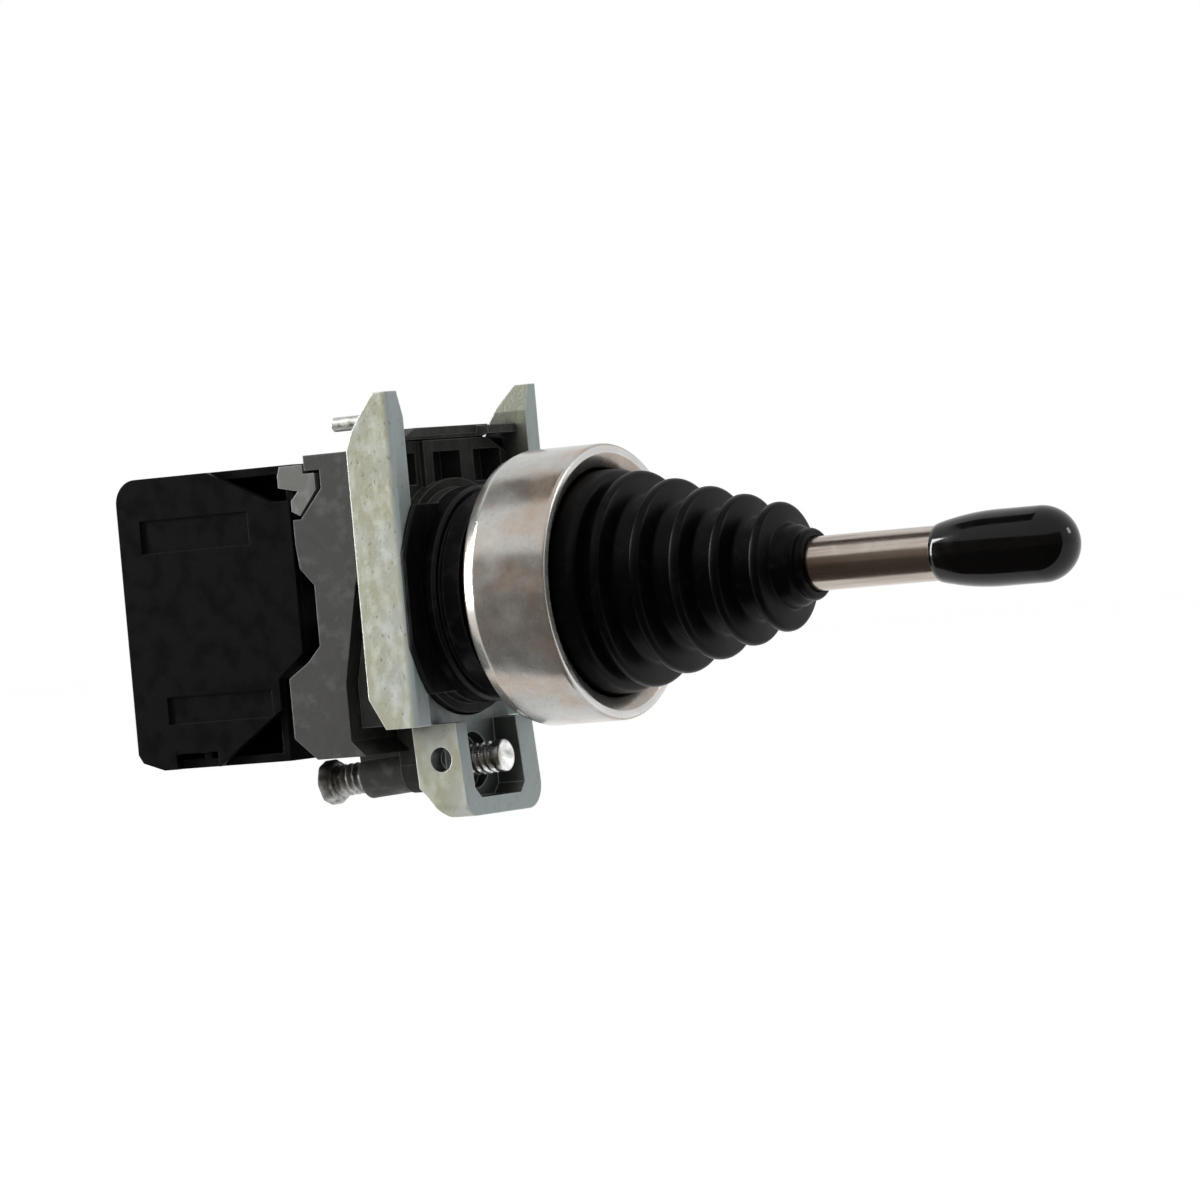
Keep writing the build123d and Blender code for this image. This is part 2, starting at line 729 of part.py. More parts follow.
with BuildPart() as collar_insert:
    with BuildSketch(Plane.YZ.offset(insert_rear_x)):
        Circle(web_opening_r - joint_gap)
        with BuildLine():
            Polyline(
                (-insert_half_width, 0),
                (-insert_half_width, insert_corner_z),
                (-insert_corner_y, insert_top),
                (insert_corner_y, insert_top),
                (insert_half_width, insert_corner_z),
                (insert_half_width, 0),
                close=True,
            )
        make_face()
        Rectangle(2 * insert_half_width, 4 * insert_top, mode=Mode.INTERSECT)
    extrude(amount=insert_thickness)
    # The front face's left end stands back from the rest.
    with BuildSketch(Plane.YZ.offset(insert_front_x)):
        with Locations((-insert_half_width, setback_z)):
            Rectangle(
                insert_half_width - window_width / 2 - bay_rib,
                insert_top,
                align=(Align.MIN, Align.MIN),
            )
        Circle(insert_ring_r, mode=Mode.SUBTRACT)
    extrude(amount=-insert_setback, mode=Mode.SUBTRACT)
    with BuildSketch(Plane.YZ.offset(insert_front_x)):
        Circle(insert_ring_r)
        Rectangle(2 * insert_half_width, 2 * insert_ring_r, mode=Mode.INTERSECT)
    extrude(amount=insert_ring_step)
    round_x(insert_front_x, insert_front_x + insert_ring_length, ring_r)
    extension = [
        (insert_rear_x, extension_top),
        (insert_rear_x - extension_step, extension_top),
        (extension_rear_x, extension_knee_z),
        (extension_rear_x, ear_bottom + joint_gap),
        (insert_rear_x, ear_bottom + joint_gap),
    ]
    slab(extension, (extension_inset - insert_half_width, insert_half_width - extension_inset))
    screw_boss = [
        (lug_rear_x - joint_gap, ear_bottom + joint_gap),
        (extension_rear_x, ear_bottom + joint_gap),
        (extension_rear_x, screw_z),
        (lug_rear_x - joint_gap, screw_z),
    ]
    slab(screw_boss, (-screw_boss_r, screw_boss_r))
    round_x(extension_rear_x, lug_rear_x - joint_gap, screw_boss_r, z=screw_z - screw_boss_drop)
    round_x(extension_rear_x, ring_rear_x, collar_bore_r, mode=Mode.SUBTRACT)
    with BuildSketch(screw_axis.offset(extension_rear_x)):
        Circle(screw_r + side_gap)
    extrude(amount=-2 * extension_rear_x, mode=Mode.SUBTRACT)
    for i in (-1, 0, 1):
        span_box(
            (insert_front_x - window_depth, insert_front_x),
            (i * window_pitch - window_width / 2, i * window_pitch + window_width / 2),
            (window_z - window_height / 2, window_z + window_height / 2),
            mode=Mode.SUBTRACT,
        )
    span_box(
        (slot_rear_x, slot_front_x),
        (foot_left - slider_spring_length - side_gap, foot_right + side_gap),
        (slot_floor, insert_top),
        mode=Mode.SUBTRACT,
    )
    # Rib that the slider runs along.
    span_box(
        (insert_rear_x, slider_rear_x - side_gap),
        (-insert_corner_y, insert_corner_y),
        (slot_floor, insert_top + slider_fence),
    )
save(collar_insert, "collar_insert")

with BuildPart() as release_slider:
    with BuildSketch(Plane.YZ.offset(slider_rear_x)):
        with BuildLine():
            Polyline(
                (slider_left - slider_slope, slider_bottom),
                (slider_left - slider_slope, slider_bottom + slider_thickness / 4),
                (slider_left, slider_top),
                (slider_right, slider_top),
                (slider_right, slider_bottom),
                close=True,
            )
        make_face()
    extrude(amount=slider_front_x - slider_rear_x)
    span_box(
        (slider_front_x - slider_undercut, slider_front_x),
        (slider_left - slider_slope, slider_right),
        (slider_bottom, slider_bottom + slider_thickness / 4),
        mode=Mode.SUBTRACT,
    )
    span_box(
        (slider_front_x - tab_overlap, tab_front_x),
        (tab_left, tab_right),
        (slider_bottom + side_gap, slider_top - side_gap),
    )
    span_box(
        (slot_rear_x + side_gap, slot_rear_x + side_gap + foot_width),
        (foot_left, foot_right),
        (slot_floor + side_gap, slider_bottom),
    )
save(release_slider, "release_slider")

slider_spring_r = (foot_depth - side_gap) / 2 - spring_wire_r
release_spring = coil(
    (slot_rear_x + side_gap + foot_width / 2, foot_left - slider_spring_length, slot_floor + foot_depth / 2),
    (slot_rear_x + side_gap + foot_width / 2, foot_left, slot_floor + foot_depth / 2),
    slider_spring_r,
    spring_wire_r,
    spring_turns,
    (0, 1, 0),
)
save(release_spring, "release_spring")

with BuildPart() as clamp_screw:
    with BuildSketch(screw_axis.offset(-screw_rear)):
        Circle(screw_r)
    extrude(amount=screw_rear + screw_front)
    chamfer(clamp_screw.edges().filter_by(GeomType.CIRCLE).sort_by(Axis.X)[-1], screw_point_chamfer)
    with BuildSketch(screw_axis.offset(-screw_rear - screw_head_length)):
        Circle(screw_head_r)
        with PolarLocations(screw_head_r, 4):
            Circle(screw_slot_width / 2, mode=Mode.SUBTRACT)
    extrude(amount=screw_head_length)
    with BuildSketch(screw_axis.offset(-screw_rear - screw_head_length)):
        Rectangle(2 * screw_head_r, screw_slot_width)
        Rectangle(screw_slot_width, 2 * screw_head_r)
    extrude(amount=screw_head_length / 2, mode=Mode.SUBTRACT)
save(clamp_screw, "clamp_screw")

# Contact carrier and latch hooks

foot_x = extension_rear_x - joint_gap
carrier_profile = [
    (waist_x, carrier_top),
    (carrier_front_x, carrier_top),
    (carrier_front_x, carrier_nose_z),
    (insert_rear_x - extension_step - joint_gap, extension_top + joint_gap),
    (foot_x, extension_knee_z),
    (foot_x, carrier_foot_z),
    (foot_x + carrier_foot_z - carrier_bottom, carrier_bottom),
    (lower_limb_heel_x, carrier_bottom),
    (lower_limb_x, lower_limb_bottom),
    (lower_limb_x, lower_limb_top),
    (limb_slope_x, (lower_limb_top + waist_bottom) / 2),
    (waist_x, waist_bottom),
    (waist_x, waist_top),
    (limb_slope_x, upper_limb_bottom),
    (upper_limb_x, (upper_limb_bottom + upper_limb_top) / 2),
    (upper_limb_x, upper_limb_top),
    (upper_limb_x + hook_corner, upper_limb_top),
    (seat_front_x, seat_z),
    (seat_front_x, seat_top),
    (waist_x, seat_top),
]
carrier_boss_front = extension_rear_x - joint_gap - web_front_x

with BuildPart() as contact_carrier:
    slab(carrier_profile, (-body_half_width, body_half_width))
    for side in sides.values():
        # Slot that a contact block's plunger comes through.
        span_box(
            (lower_limb_x, carrier_front_x),
            outward(side, plunger_inner - side_gap, plunger_outer + side_gap),
            (-plunger_half_height - side_gap, plunger_half_height + side_gap),
            mode=Mode.SUBTRACT,
        )
    for i in (-1, 0, 1):
        bay = (i * block_pitch - bay_width / 2, i * block_pitch + bay_width / 2)
        span_box((lower_limb_x, lower_bay_front_x), bay, (-bay_outer_z, -bay_inner_z), mode=Mode.SUBTRACT)
        span_box((lower_limb_x, upper_bay_front_x), bay, (bay_inner_z, bay_outer_z), mode=Mode.SUBTRACT)
    with BuildSketch(screw_axis.offset(-carrier_boss_rear)):
        Circle(carrier_boss_r)
        with Locations((0, carrier_boss_r)):
            Rectangle(1.4 * carrier_boss_r, 2 * carrier_boss_r)
    extrude(amount=carrier_boss_rear + carrier_boss_front)
    with BuildSketch(screw_axis.offset(-carrier_boss_rear)):
        Circle(screw_r + side_gap)
    extrude(amount=carrier_boss_rear + carrier_boss_front, mode=Mode.SUBTRACT)
    # Notch that the insert's screw boss reaches into.
    span_box(
        (extension_rear_x - joint_gap, carrier_front_x),
        (-screw_boss_r - joint_gap, screw_boss_r + joint_gap),
        (2 * carrier_bottom, ear_bottom + joint_gap),
        mode=Mode.SUBTRACT,
    )
save(contact_carrier, "contact_carrier")

strap_bottom = hook_top - strap_thickness
hook_profile = [
    (hook_rear_x, strap_bottom + hook_corner / 2),
    (hook_rear_x, hook_top - hook_corner),
    (hook_rear_x + hook_corner / 3, hook_top),
    (waist_x - joint_gap, hook_top),
    (waist_x - joint_gap, hook_top - hook_corner),
    (hook_front_x, hook_top - hook_corner),
    (hook_front_x, strap_bottom),
    (hook_tip_x + hook_corner, hook_bottom),
    (hook_tip_x, hook_bottom + hook_corner / 2),
    (hook_tip_x, strap_bottom - hook_corner),
    (hook_tip_x + hook_corner, strap_bottom),
]

with BuildPart() as latch_hooks:
    for side in sides.values():
        slab(hook_profile, outward(side, housing_outer, body_half_width))
save(latch_hooks, "latch_hooks")

# Contact blocks

plunger_y = (plunger_inner + plunger_outer) / 2
plunger_front_x = pusher_end_x - contact_gap
tip_face_x = bridge_x - tip_thickness
contact_travel = pusher_offset * math.radians(tilt_deg) + running_fit
fixed_tip_x = tip_face_x - contact_travel
contact_plate_x = fixed_tip_x - tip_thickness
strip_rear_x = contact_plate_x - strip_thickness
terminal_y = (chamber_inner + housing_outer) / 2
knee_z = terminal_z - terminal_plate_length / 2

rear_corner = [
    (block_rear_x + 3.5 * block_wall, block_bottom),
    (block_rear_x + 0.6 * block_wall, block_bottom + block_wall),
    (block_rear_x, block_bottom + 2 * block_wall),
    (block_rear_x, block_top),
]
housing_profile = [
    *rear_corner,
    (block_front_x, block_top),
    (block_front_x, nose_bottom),
    (block_step_x, block_step_z),
    (block_step_x, block_bottom),
]
cover_profile = [
    *rear_corner,
    (cover_top_x, block_top),
    (block_front_x + nose_bottom / 2, cover_shoulder_z),
    (block_front_x, cover_shoulder_z),
    (block_front_x, nose_bottom),
    (block_step_x, block_step_z),
    (block_step_x, cover_foot_z),
    (cover_bottom_x, block_bottom),
]


def rounded_rear(profile, y):
    """A block outline between two values of Y, with its upper rear corner rounded."""
    with BuildSketch(side_plane(y[1])) as outline:
        with BuildLine():
            Polyline(profile, close=True)
        make_face()
        fillet(outline.vertices().group_by(Axis.X)[0].sort_by(Axis.Y)[-1], block_corner_r)
    extrude(outline.sketch, amount=y[1] - y[0])


def block_housing(side):
    with BuildPart() as housing:
        rounded_rear(housing_profile, outward(side, block_inner, housing_outer))
        chamber = outward(side, chamber_inner, housing_outer)
        span_box(
            (rear_wall_x, block_step_x - block_wall),
            chamber,
            (block_bottom + block_wall, block_top - block_wall),
            mode=Mode.SUBTRACT,
        )
        span_box(
            (block_step_x - block_wall, front_wall_x),
            chamber,
            (nose_bottom, block_top - block_wall),
            mode=Mode.SUBTRACT,
        )
        # The plunger leaves by this opening in the front wall.
        span_box(
            (front_wall_x, block_front_x),
            outward(side, plunger_inner - side_gap, plunger_outer + side_gap),
            (-plunger_half_height - side_gap, plunger_half_height + side_gap),
            mode=Mode.SUBTRACT,
        )
        for up in (-1, 1):
            # Guide rib beside the plunger, ledge behind the fixed contact and ledge before the
            # terminal plate.
            guide = plunger_half_height + side_gap
            span_box(
                (front_wall_x - guide_rib_length, front_wall_x),
                outward(side, block_inner, housing_outer - block_wall),
                sorted((up * guide, up * (guide + block_wall))),
            )
            ledge = outward(side, block_inner, chamber_inner + strip_width)
            span_box(
                (strip_rear_x - block_wall, strip_rear_x),
                ledge,
                sorted((up * (tip_z - tip_r), up * (knee_z - strip_thickness))),
            )
            span_box(
                (terminal_plate_x, terminal_plate_x + block_wall),
                outward(side, block_inner, housing_outer),
                sorted((up * knee_z, up * (block_top - block_wall / 2))),
            )
            round_x(
                terminal_plate_x,
                terminal_plate_x + block_wall,
                terminal_screw_r + side_gap,
                y=side * terminal_y,
                z=up * terminal_z,
                mode=Mode.SUBTRACT,
            )
            round_x(
                block_rear_x,
                rear_wall_x,
                terminal_head_r + side_gap,
                y=side * terminal_y,
                z=up * terminal_z,
                mode=Mode.SUBTRACT,
            )
            # Wire entry in the end wall, over the wire space.
            span_box(
                (wire_rear_x + side_gap, wire_rear_x + side_gap + wire_window),
                outward(side, terminal_y - terminal_head_r, housing_outer - block_wall),
                sorted((up * terminal_z, up * (block_top + 2 * block_wall))),
                mode=Mode.SUBTRACT,
            )
    return housing


def block_cover(side):
    outer = outward(side, housing_outer, body_half_width)
    with BuildPart() as cover:
        rounded_rear(cover_profile, outer)
        # Notch over the lower wire entry.
        span_box(
            (notch_rear_x, notch_front_x),
            outer,
            (block_bottom, block_bottom + notch_depth),
            mode=Mode.SUBTRACT,
        )
        # Two shallow panels in the outer face.
        face = outward(side, body_half_width - panel_depth, body_half_width)
        for x, z in (upper_panel, lower_panel):
            span_box(x, face, z, mode=Mode.SUBTRACT)
    return cover


def block_plunger(side):
    stem = outward(side, plunger_inner, plunger_outer)
    with BuildPart() as plunger:
        span_box((plunger_rear_x, plunger_front_x), stem, (-plunger_half_height, plunger_half_height))
        # Window that the bridge passes through.
        span_box(
            (bridge_x, bridge_x + bridge_thickness),
            outward(side, plunger_y - bridge_width / 2, plunger_y + bridge_width / 2),
            (-plunger_half_height, plunger_half_height),
            mode=Mode.SUBTRACT,
        )
        chamfer(plunger.faces().sort_by(Axis.X)[-1].edges(), edge_break)
    return plunger


def contact_bridge(side):
    with BuildPart() as bridge:
        span_box(
            (bridge_x, bridge_x + bridge_thickness),
            outward(side, plunger_y - bridge_width / 2, plunger_y + bridge_width / 2),
            (-bridge_half_length, bridge_half_length),
        )
        for up in (-1, 1):
            round_x(tip_face_x, bridge_x, tip_r, y=side * plunger_y, z=up * tip_z)
    return bridge


def fixed_contacts(side):
    strip = outward(side, chamber_inner + side_gap, chamber_inner + strip_width)
    with BuildPart() as contacts:
        for up in (-1, 1):
            span_box(
                (strip_rear_x, contact_plate_x),
                strip,
                sorted((up * (tip_z - tip_r), up * knee_z)),
            )
            span_box(
                (wire_front_x, contact_plate_x),
                strip,
                sorted((up * (knee_z - strip_thickness), up * knee_z)),
            )
            span_box(
                (wire_front_x, terminal_plate_x),
                outward(side, terminal_y - terminal_plate_width / 2, terminal_y + terminal_plate_width / 2),
                sorted((up * (knee_z - strip_thickness), up * (knee_z + terminal_plate_length))),
            )
            round_x(contact_plate_x, fixed_tip_x, tip_r, y=side * plunger_y, z=up * tip_z)
            round_x(
                wire_front_x,
                terminal_plate_x,
                terminal_screw_r + running_fit,
                y=side * terminal_y,
                z=up * terminal_z,
                mode=Mode.SUBTRACT,
            )
    return contacts


def terminal_screw(side, up):
    place = {"y": side * terminal_y, "z": up * terminal_z}
    with BuildPart() as screw:
        round_x(terminal_head_x, terminal_neck_x, terminal_head_r, **place)
        round_x(terminal_neck_x, terminal_plate_x + terminal_screw_tail, terminal_screw_r, **place)
        span_box(
            (terminal_head_x, terminal_head_x + terminal_head_length / 2),
            sorted((place["y"] - terminal_head_r, place["y"] + terminal_head_r)),
            (place["z"] - screw_slot_width / 2, place["z"] + screw_slot_width / 2),
            mode=Mode.SUBTRACT,
        )
    return screw


def wire_clamp(side, up):
    with BuildPart() as clamp:
        span_box(
            (wire_rear_x, wire_rear_x + clamp_thickness),
            outward(side, terminal_y - terminal_plate_width / 2, terminal_y + terminal_plate_width / 2),
            sorted((up * (terminal_z - terminal_head_r), up * (terminal_z + terminal_head_r))),
        )
        round_x(
            wire_rear_x,
            wire_rear_x + clamp_thickness,
            terminal_screw_r + running_fit,
            y=side * terminal_y,
            z=up * terminal_z,
            mode=Mode.SUBTRACT,
        )
    return clamp


with BuildPart() as centre_block:
    rounded_rear(housing_profile, (block_split_gap - block_inner, block_inner - block_split_gap))
save(centre_block, "centre_block")

for name, side in sides.items():
    save(block_housing(side), f"block_housing_{name}")
    save(block_cover(side), f"block_cover_{name}")
    save(block_plunger(side), f"plunger_{name}")
    save(contact_bridge(side), f"contact_bridge_{name}")
    save(fixed_contacts(side), f"fixed_contacts_{name}")
    contact_spring = coil(
        (rear_wall_x, side * plunger_y, 0),
        (plunger_rear_x, side * plunger_y, 0),
        (plunger_outer - plunger_inner) / 2 - spring_wire_r,
        spring_wire_r,
        spring_turns,
        (1, 0, 0),
    )
    save(contact_spring, f"contact_spring_{name}")
    for place, up in {"top": 1, "bottom": -1}.items():
        save(terminal_screw(side, up), f"terminal_screw_{name}_{place}")
        save(wire_clamp(side, up), f"wire_clamp_{name}_{place}")
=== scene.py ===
"""Looks of a panel joystick switch, in metres and in the frame of its CAD model."""

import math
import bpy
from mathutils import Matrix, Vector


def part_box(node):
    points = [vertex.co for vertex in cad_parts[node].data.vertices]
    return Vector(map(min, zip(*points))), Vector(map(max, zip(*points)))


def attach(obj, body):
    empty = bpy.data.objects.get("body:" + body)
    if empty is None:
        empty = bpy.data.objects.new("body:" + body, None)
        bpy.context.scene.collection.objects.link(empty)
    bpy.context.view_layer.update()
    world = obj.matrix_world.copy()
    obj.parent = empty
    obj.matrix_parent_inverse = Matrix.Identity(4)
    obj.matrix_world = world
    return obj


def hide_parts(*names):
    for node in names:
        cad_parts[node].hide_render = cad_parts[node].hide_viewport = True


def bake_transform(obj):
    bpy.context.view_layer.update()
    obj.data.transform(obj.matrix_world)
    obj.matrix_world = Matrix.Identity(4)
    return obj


bl_info = {
    "name": "Panel joystick switch",
    "version": (1, 0, 0),
    "blender": (4, 5, 0),
    "location": "View3D > Sidebar > Joystick switch",
    "description": "Dresses the CAD model of a panel joystick switch",
    "category": "Object",
}

import bpy
from mathutils import Matrix, Vector

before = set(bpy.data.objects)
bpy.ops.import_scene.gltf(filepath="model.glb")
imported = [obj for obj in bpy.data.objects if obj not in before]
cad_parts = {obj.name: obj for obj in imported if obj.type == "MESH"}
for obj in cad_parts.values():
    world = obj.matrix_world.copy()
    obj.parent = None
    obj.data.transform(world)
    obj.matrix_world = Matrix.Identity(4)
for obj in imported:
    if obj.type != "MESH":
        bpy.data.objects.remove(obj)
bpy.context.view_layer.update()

MM = 0.001
FULL_TURN = 2 * math.pi
SHARP_ANGLE = math.radians(50)
FRONT = (1, 0, 0)
UPRIGHT = Vector((0, 0, 1))


def length_setting(name, description, millimetres):
    """A length property with its default in millimetres."""
    return bpy.props.FloatProperty(
        name=name, description=description, default=millimetres * MM, unit="LENGTH"
    )


def angle_setting(name, description, degrees):
    """An angle property with its default in degrees."""
    return bpy.props.FloatProperty(
        name=name, description=description, default=math.radians(degrees), subtype="ANGLE"
    )


def colour_setting(name, description, default):
    """A colour property."""
    return bpy.props.FloatVectorProperty(
        name=name, description=description, default=default, subtype="COLOR", min=0, max=1
    )


class SwitchSizes(bpy.types.PropertyGroup):
    """Sizes of the pieces that are made here."""

    bezel_front: length_setting("Bezel front", "Place of the metal ring's mouth on the axis", 13.4)
    bezel_radius: length_setting("Bezel radius", "Outer radius of the metal ring", 19)
    bezel_bore: length_setting("Bezel bore", "Inner radius of the metal ring", 16.9)
    bezel_rear_mouth: length_setting("Rear mouth", "Radius of the metal ring's rear opening", 15.6)
    bezel_front_mouth: length_setting("Front mouth", "Radius of the metal ring's front opening", 15.7)
    boot_rear: length_setting("Boot rear", "Place of the boot's rim on the axis", 5.15)
    boot_rim: length_setting("Boot rim", "Radius of the rim that is held down", 16.6)
    boot_base: length_setting("Boot base", "Radius of the plain part in the metal ring", 15.36)
    boot_tip: length_setting("Boot tip", "Place of the boot's end on the rod", 45)
    boot_bore: length_setting("Boot bore", "Radius of the hole for the rod", 3.76)
    boot_wall: length_setting("Boot wall", "Thickness of the rubber", 1.1)
    ridge_count: bpy.props.IntProperty(
        name="Boot ridges", description="Ridges of the boot, base to tip", default=5, min=1
    )
    ridge_pitch: length_setting("Ridge pitch", "Distance from ridge to ridge", 5.35)
    ridge_step: length_setting("Ridge step", "Fall in radius from ridge to ridge", 1.5)
    first_ridge_x: length_setting("First ridge", "Place of the widest ridge on the axis", 18.5)
    first_ridge_radius: length_setting("First ridge radius", "Radius of the widest ridge", 14.75)
    screw_lean: angle_setting("Screw lean", "Slope of the clamp screw", 4.1)
    screw_radius: length_setting("Screw radius", "Outer radius of the clamp screw's thread", 2.24)
    head_radius: length_setting("Head radius", "Radius of the clamp screw's head", 3.13)
    thread_pitch: length_setting("Thread pitch", "Pitch of the clamp screw's thread", 1.05)
    thread_depth: length_setting("Thread depth", "Depth of the clamp screw's thread", 0.42)
    spring_wire: length_setting("Spring wire", "Radius of the springs' wire", 0.22)
    grip_start: length_setting("Grip start", "Where the rod enters the grip", 64)
    grip_length: length_setting("Grip length", "Length of the grip", 20.3)
    grip_radius: length_setting("Grip radius", "Radius of the grip", 5.15)


class SwitchColours(bpy.types.PropertyGroup):
    """Main colours of the finishes."""

    zinc: colour_setting("Zinc", "Passivated casting", (0.45, 0.47, 0.41))
    zinc_stain: colour_setting("Zinc stain", "Yellowed patches on the casting", (0.42, 0.42, 0.31))
    # Zinc front is a painted reflection: a cooler colour on the faces towards the panel.
    zinc_front_reflection: colour_setting("Zinc front", "Faces towards the panel", (0.36, 0.42, 0.42))
    bezel: colour_setting("Bezel", "Satin metal ring", (0.46, 0.46, 0.44))
    bezel_patch: colour_setting("Bezel patches", "Handled patches on the ring", (0.42, 0.35, 0.29))
    rubber: colour_setting("Rubber", "Boot and seal", (0.0016, 0.0016, 0.0016))
    grip: colour_setting("Grip", "Glossy hand grip", (0.002, 0.002, 0.002))
    steel: colour_setting("Rod", "Satin steel rod", (0.48, 0.435, 0.38))
    carrier: colour_setting("Carrier", "Grey-brown moulding", (0.028, 0.0275, 0.0235))
    hook: colour_setting("Latch hooks", "Light grey moulding", (0.13, 0.13, 0.12))
    insert: colour_setting("Collar insert", "Dark grey moulding", (0.03, 0.03, 0.0285))
    block: colour_setting("Contact blocks", "Near-black moulding", (0.0028, 0.003, 0.0028))
    screw: colour_setting("Screws", "Zinc-plated steel", (0.82, 0.83, 0.82))
    brass: colour_setting("Contacts", "Bare brass", (0.72, 0.52, 0.24))


class SwitchStage(bpy.types.PropertyGroup):
    """Where the camera stands, and the floor."""

    camera_azimuth: angle_setting("Camera azimuth", "Turn of the camera round the upright", 31)
    camera_elevation: angle_setting("Camera elevation", "Camera's height above the horizon", 0.4)
    camera_roll: angle_setting("Camera roll", "Roll that lifts the lever in the picture", 5.2)
    camera_distance: length_setting("Camera distance", "From the origin to the camera", 1000)
    camera_lens: bpy.props.FloatProperty(
        name="Camera lens", description="Focal length in millimetres", default=218.1
    )
    aim: bpy.props.FloatVectorProperty(
        name="Aim", description="How far right and up of the origin the camera looks",
        default=(9.22 * MM, 1.54 * MM), size=2, unit="LENGTH",
    )
    floor_z: length_setting("Floor", "Height of the floor", -90)


def new_finish(name, roughness, metallic=0.0, specular=0.5):
    """A material, its node tree and its shader."""
    finish = bpy.data.materials.new(name)
    finish.use_nodes = True
    tree = finish.node_tree
    shader = tree.nodes["Principled BSDF"]
    shader.inputs["Roughness"].default_value = roughness
    shader.inputs["Metallic"].default_value = metallic
    shader.inputs["Specular IOR Level"].default_value = specular
    return finish, tree, shader


def feed(tree, socket, value):
    """Links an output to a socket, or sets a fixed value on it."""
    if isinstance(value, bpy.types.NodeSocket):
        tree.links.new(value, socket)
    else:
        socket.default_value = value


def combine(tree, operation, first, second):
    """The result of a math operation on two values, each an output or a number."""
    node = tree.nodes.new("ShaderNodeMath")
    node.operation = operation
    feed(tree, node.inputs[0], first)
    feed(tree, node.inputs[1], second)
    return node.outputs["Value"]


def dot(tree, first, second):
    """The dot product of two vectors, each an output or fixed."""
    node = tree.nodes.new("ShaderNodeVectorMath")
    node.operation = "DOT_PRODUCT"
    feed(tree, node.inputs[0], first)
    feed(tree, node.inputs[1], second)
    return node.outputs["Value"]


def ramp(tree, value, low, high):
    """A mask that runs from 0 to 1 as the value runs from low to high."""
    node = tree.nodes.new("ShaderNodeMapRange")
    node.inputs["From Min"].default_value = low
    node.inputs["From Max"].default_value = high
    tree.links.new(value, node.inputs["Value"])
    return node.outputs["Result"]


def span(tree, mask, start, end):
    """A number that runs from start to end as the mask runs from 0 to 1."""
    node = tree.nodes.new("ShaderNodeMapRange")
    node.inputs["To Min"].default_value = start
    node.inputs["To Max"].default_value = end
    tree.links.new(mask, node.inputs["Value"])
    return node.outputs["Result"]


def weaken(tree, mask, share):
    """The mask times a share."""
    return combine(tree, "MULTIPLY", mask, share)


def tint(tree, mask, first, second, share=1.0):
    """The first colour where the mask is 0, and the second, or a share of it, where it is 1."""
    mix = tree.nodes.new("ShaderNodeMix")
    mix.data_type = "RGBA"
    for socket, colour in ((mix.inputs[6], first), (mix.inputs[7], second)):
        fixed = not isinstance(colour, bpy.types.NodeSocket)
        feed(tree, socket, (*colour, 1.0) if fixed else colour)
    tree.links.new(weaken(tree, mask, share) if share < 1 else mask, mix.inputs["Factor"])
    return mix.outputs[2]


def spots(tree, size, low=0.4, high=0.6, stretch=(1, 1, 1), shift=0.0, detail=5.0):
    """A mask of soft spots about size across, from 0 where the noise is low to 1 where it is high."""
    place = tree.nodes.new("ShaderNodeTexCoord")
    moved = tree.nodes.new("ShaderNodeMapping")
    moved.inputs["Scale"].default_value = stretch
    moved.inputs["Location"].default_value = (shift, shift, shift)
    noise = tree.nodes.new("ShaderNodeTexNoise")
    noise.inputs["Scale"].default_value = 1 / size
    noise.inputs["Detail"].default_value = detail
    tree.links.new(place.outputs["Object"], moved.inputs["Vector"])
    tree.links.new(moved.outputs["Vector"], noise.inputs["Vector"])
    return ramp(tree, noise.outputs["Fac"], low, high)


def soft_edges(tree, radius):
    """The normal of a surface whose edges are rounded, and a mask that is 1 on those edges."""
    bevel = tree.nodes.new("ShaderNodeBevel")
    bevel.samples = 6
    bevel.inputs["Radius"].default_value = radius
    flat = tree.nodes.new("ShaderNodeNewGeometry")
    normal = bevel.outputs["Normal"]
    return normal, ramp(tree, dot(tree, normal, flat.outputs["Normal"]), 0.995, 0.93)


def shaded_recesses(tree, depth, start, end):
    """A mask that is 1 deep inside holes and corners up to depth across, where shade falls; it paints shade."""
    shelter = tree.nodes.new("ShaderNodeAmbientOcclusion")
    shelter.samples = 8
    shelter.inputs["Distance"].default_value = depth
    return ramp(tree, shelter.outputs["AO"], start, end)


def facing(tree, axis, start, end):
    """A mask of the faces that look along an axis, from 0 at start to 1 at end of the normal's share."""
    geometry = tree.nodes.new("ShaderNodeNewGeometry")
    return ramp(tree, dot(tree, geometry.outputs["Normal"], axis), start, end)


def bump(tree, shader, height, depth, normal=None):
    """Raises the surface by depth where the height mask is 1."""
    node = tree.nodes.new("ShaderNodeBump")
    node.inputs["Distance"].default_value = depth
    tree.links.new(height, node.inputs["Height"])
    if normal is not None:
        tree.links.new(normal, node.inputs["Normal"])
    tree.links.new(node.outputs["Normal"], shader.inputs["Normal"])


def moulded(name, colour, roughness, scuff, scuff_share, edge_wear_and_highlight_share, specular=0.4):
    """Moulded plastic: fine grain, scuffs, and edges made lighter, partly by wear and partly as a painted highlight.
    """
    finish, tree, shader = new_finish(name, roughness, specular=specular)
    normal, edges = soft_edges(tree, 0.25 * MM)
    scuffs = spots(tree, 2.2 * MM, 0.52, 0.75, (1, 3, 1))
    worn = tint(tree, scuffs, colour, scuff, scuff_share)
    # Painted highlight in part: the edges are tinted lighter, partly for wear.
    lit = tint(tree, edges, worn, scuff, edge_wear_and_highlight_share)
    sheen = spots(tree, 3.0 * MM, shift=0.3)
    tree.links.new(lit, shader.inputs["Base Color"])
    tree.links.new(span(tree, sheen, roughness - 0.08, roughness + 0.1), shader.inputs["Roughness"])
    bump(tree, shader, spots(tree, 0.25 * MM, 0.3, 0.7), 0.012 * MM, normal)
    return finish


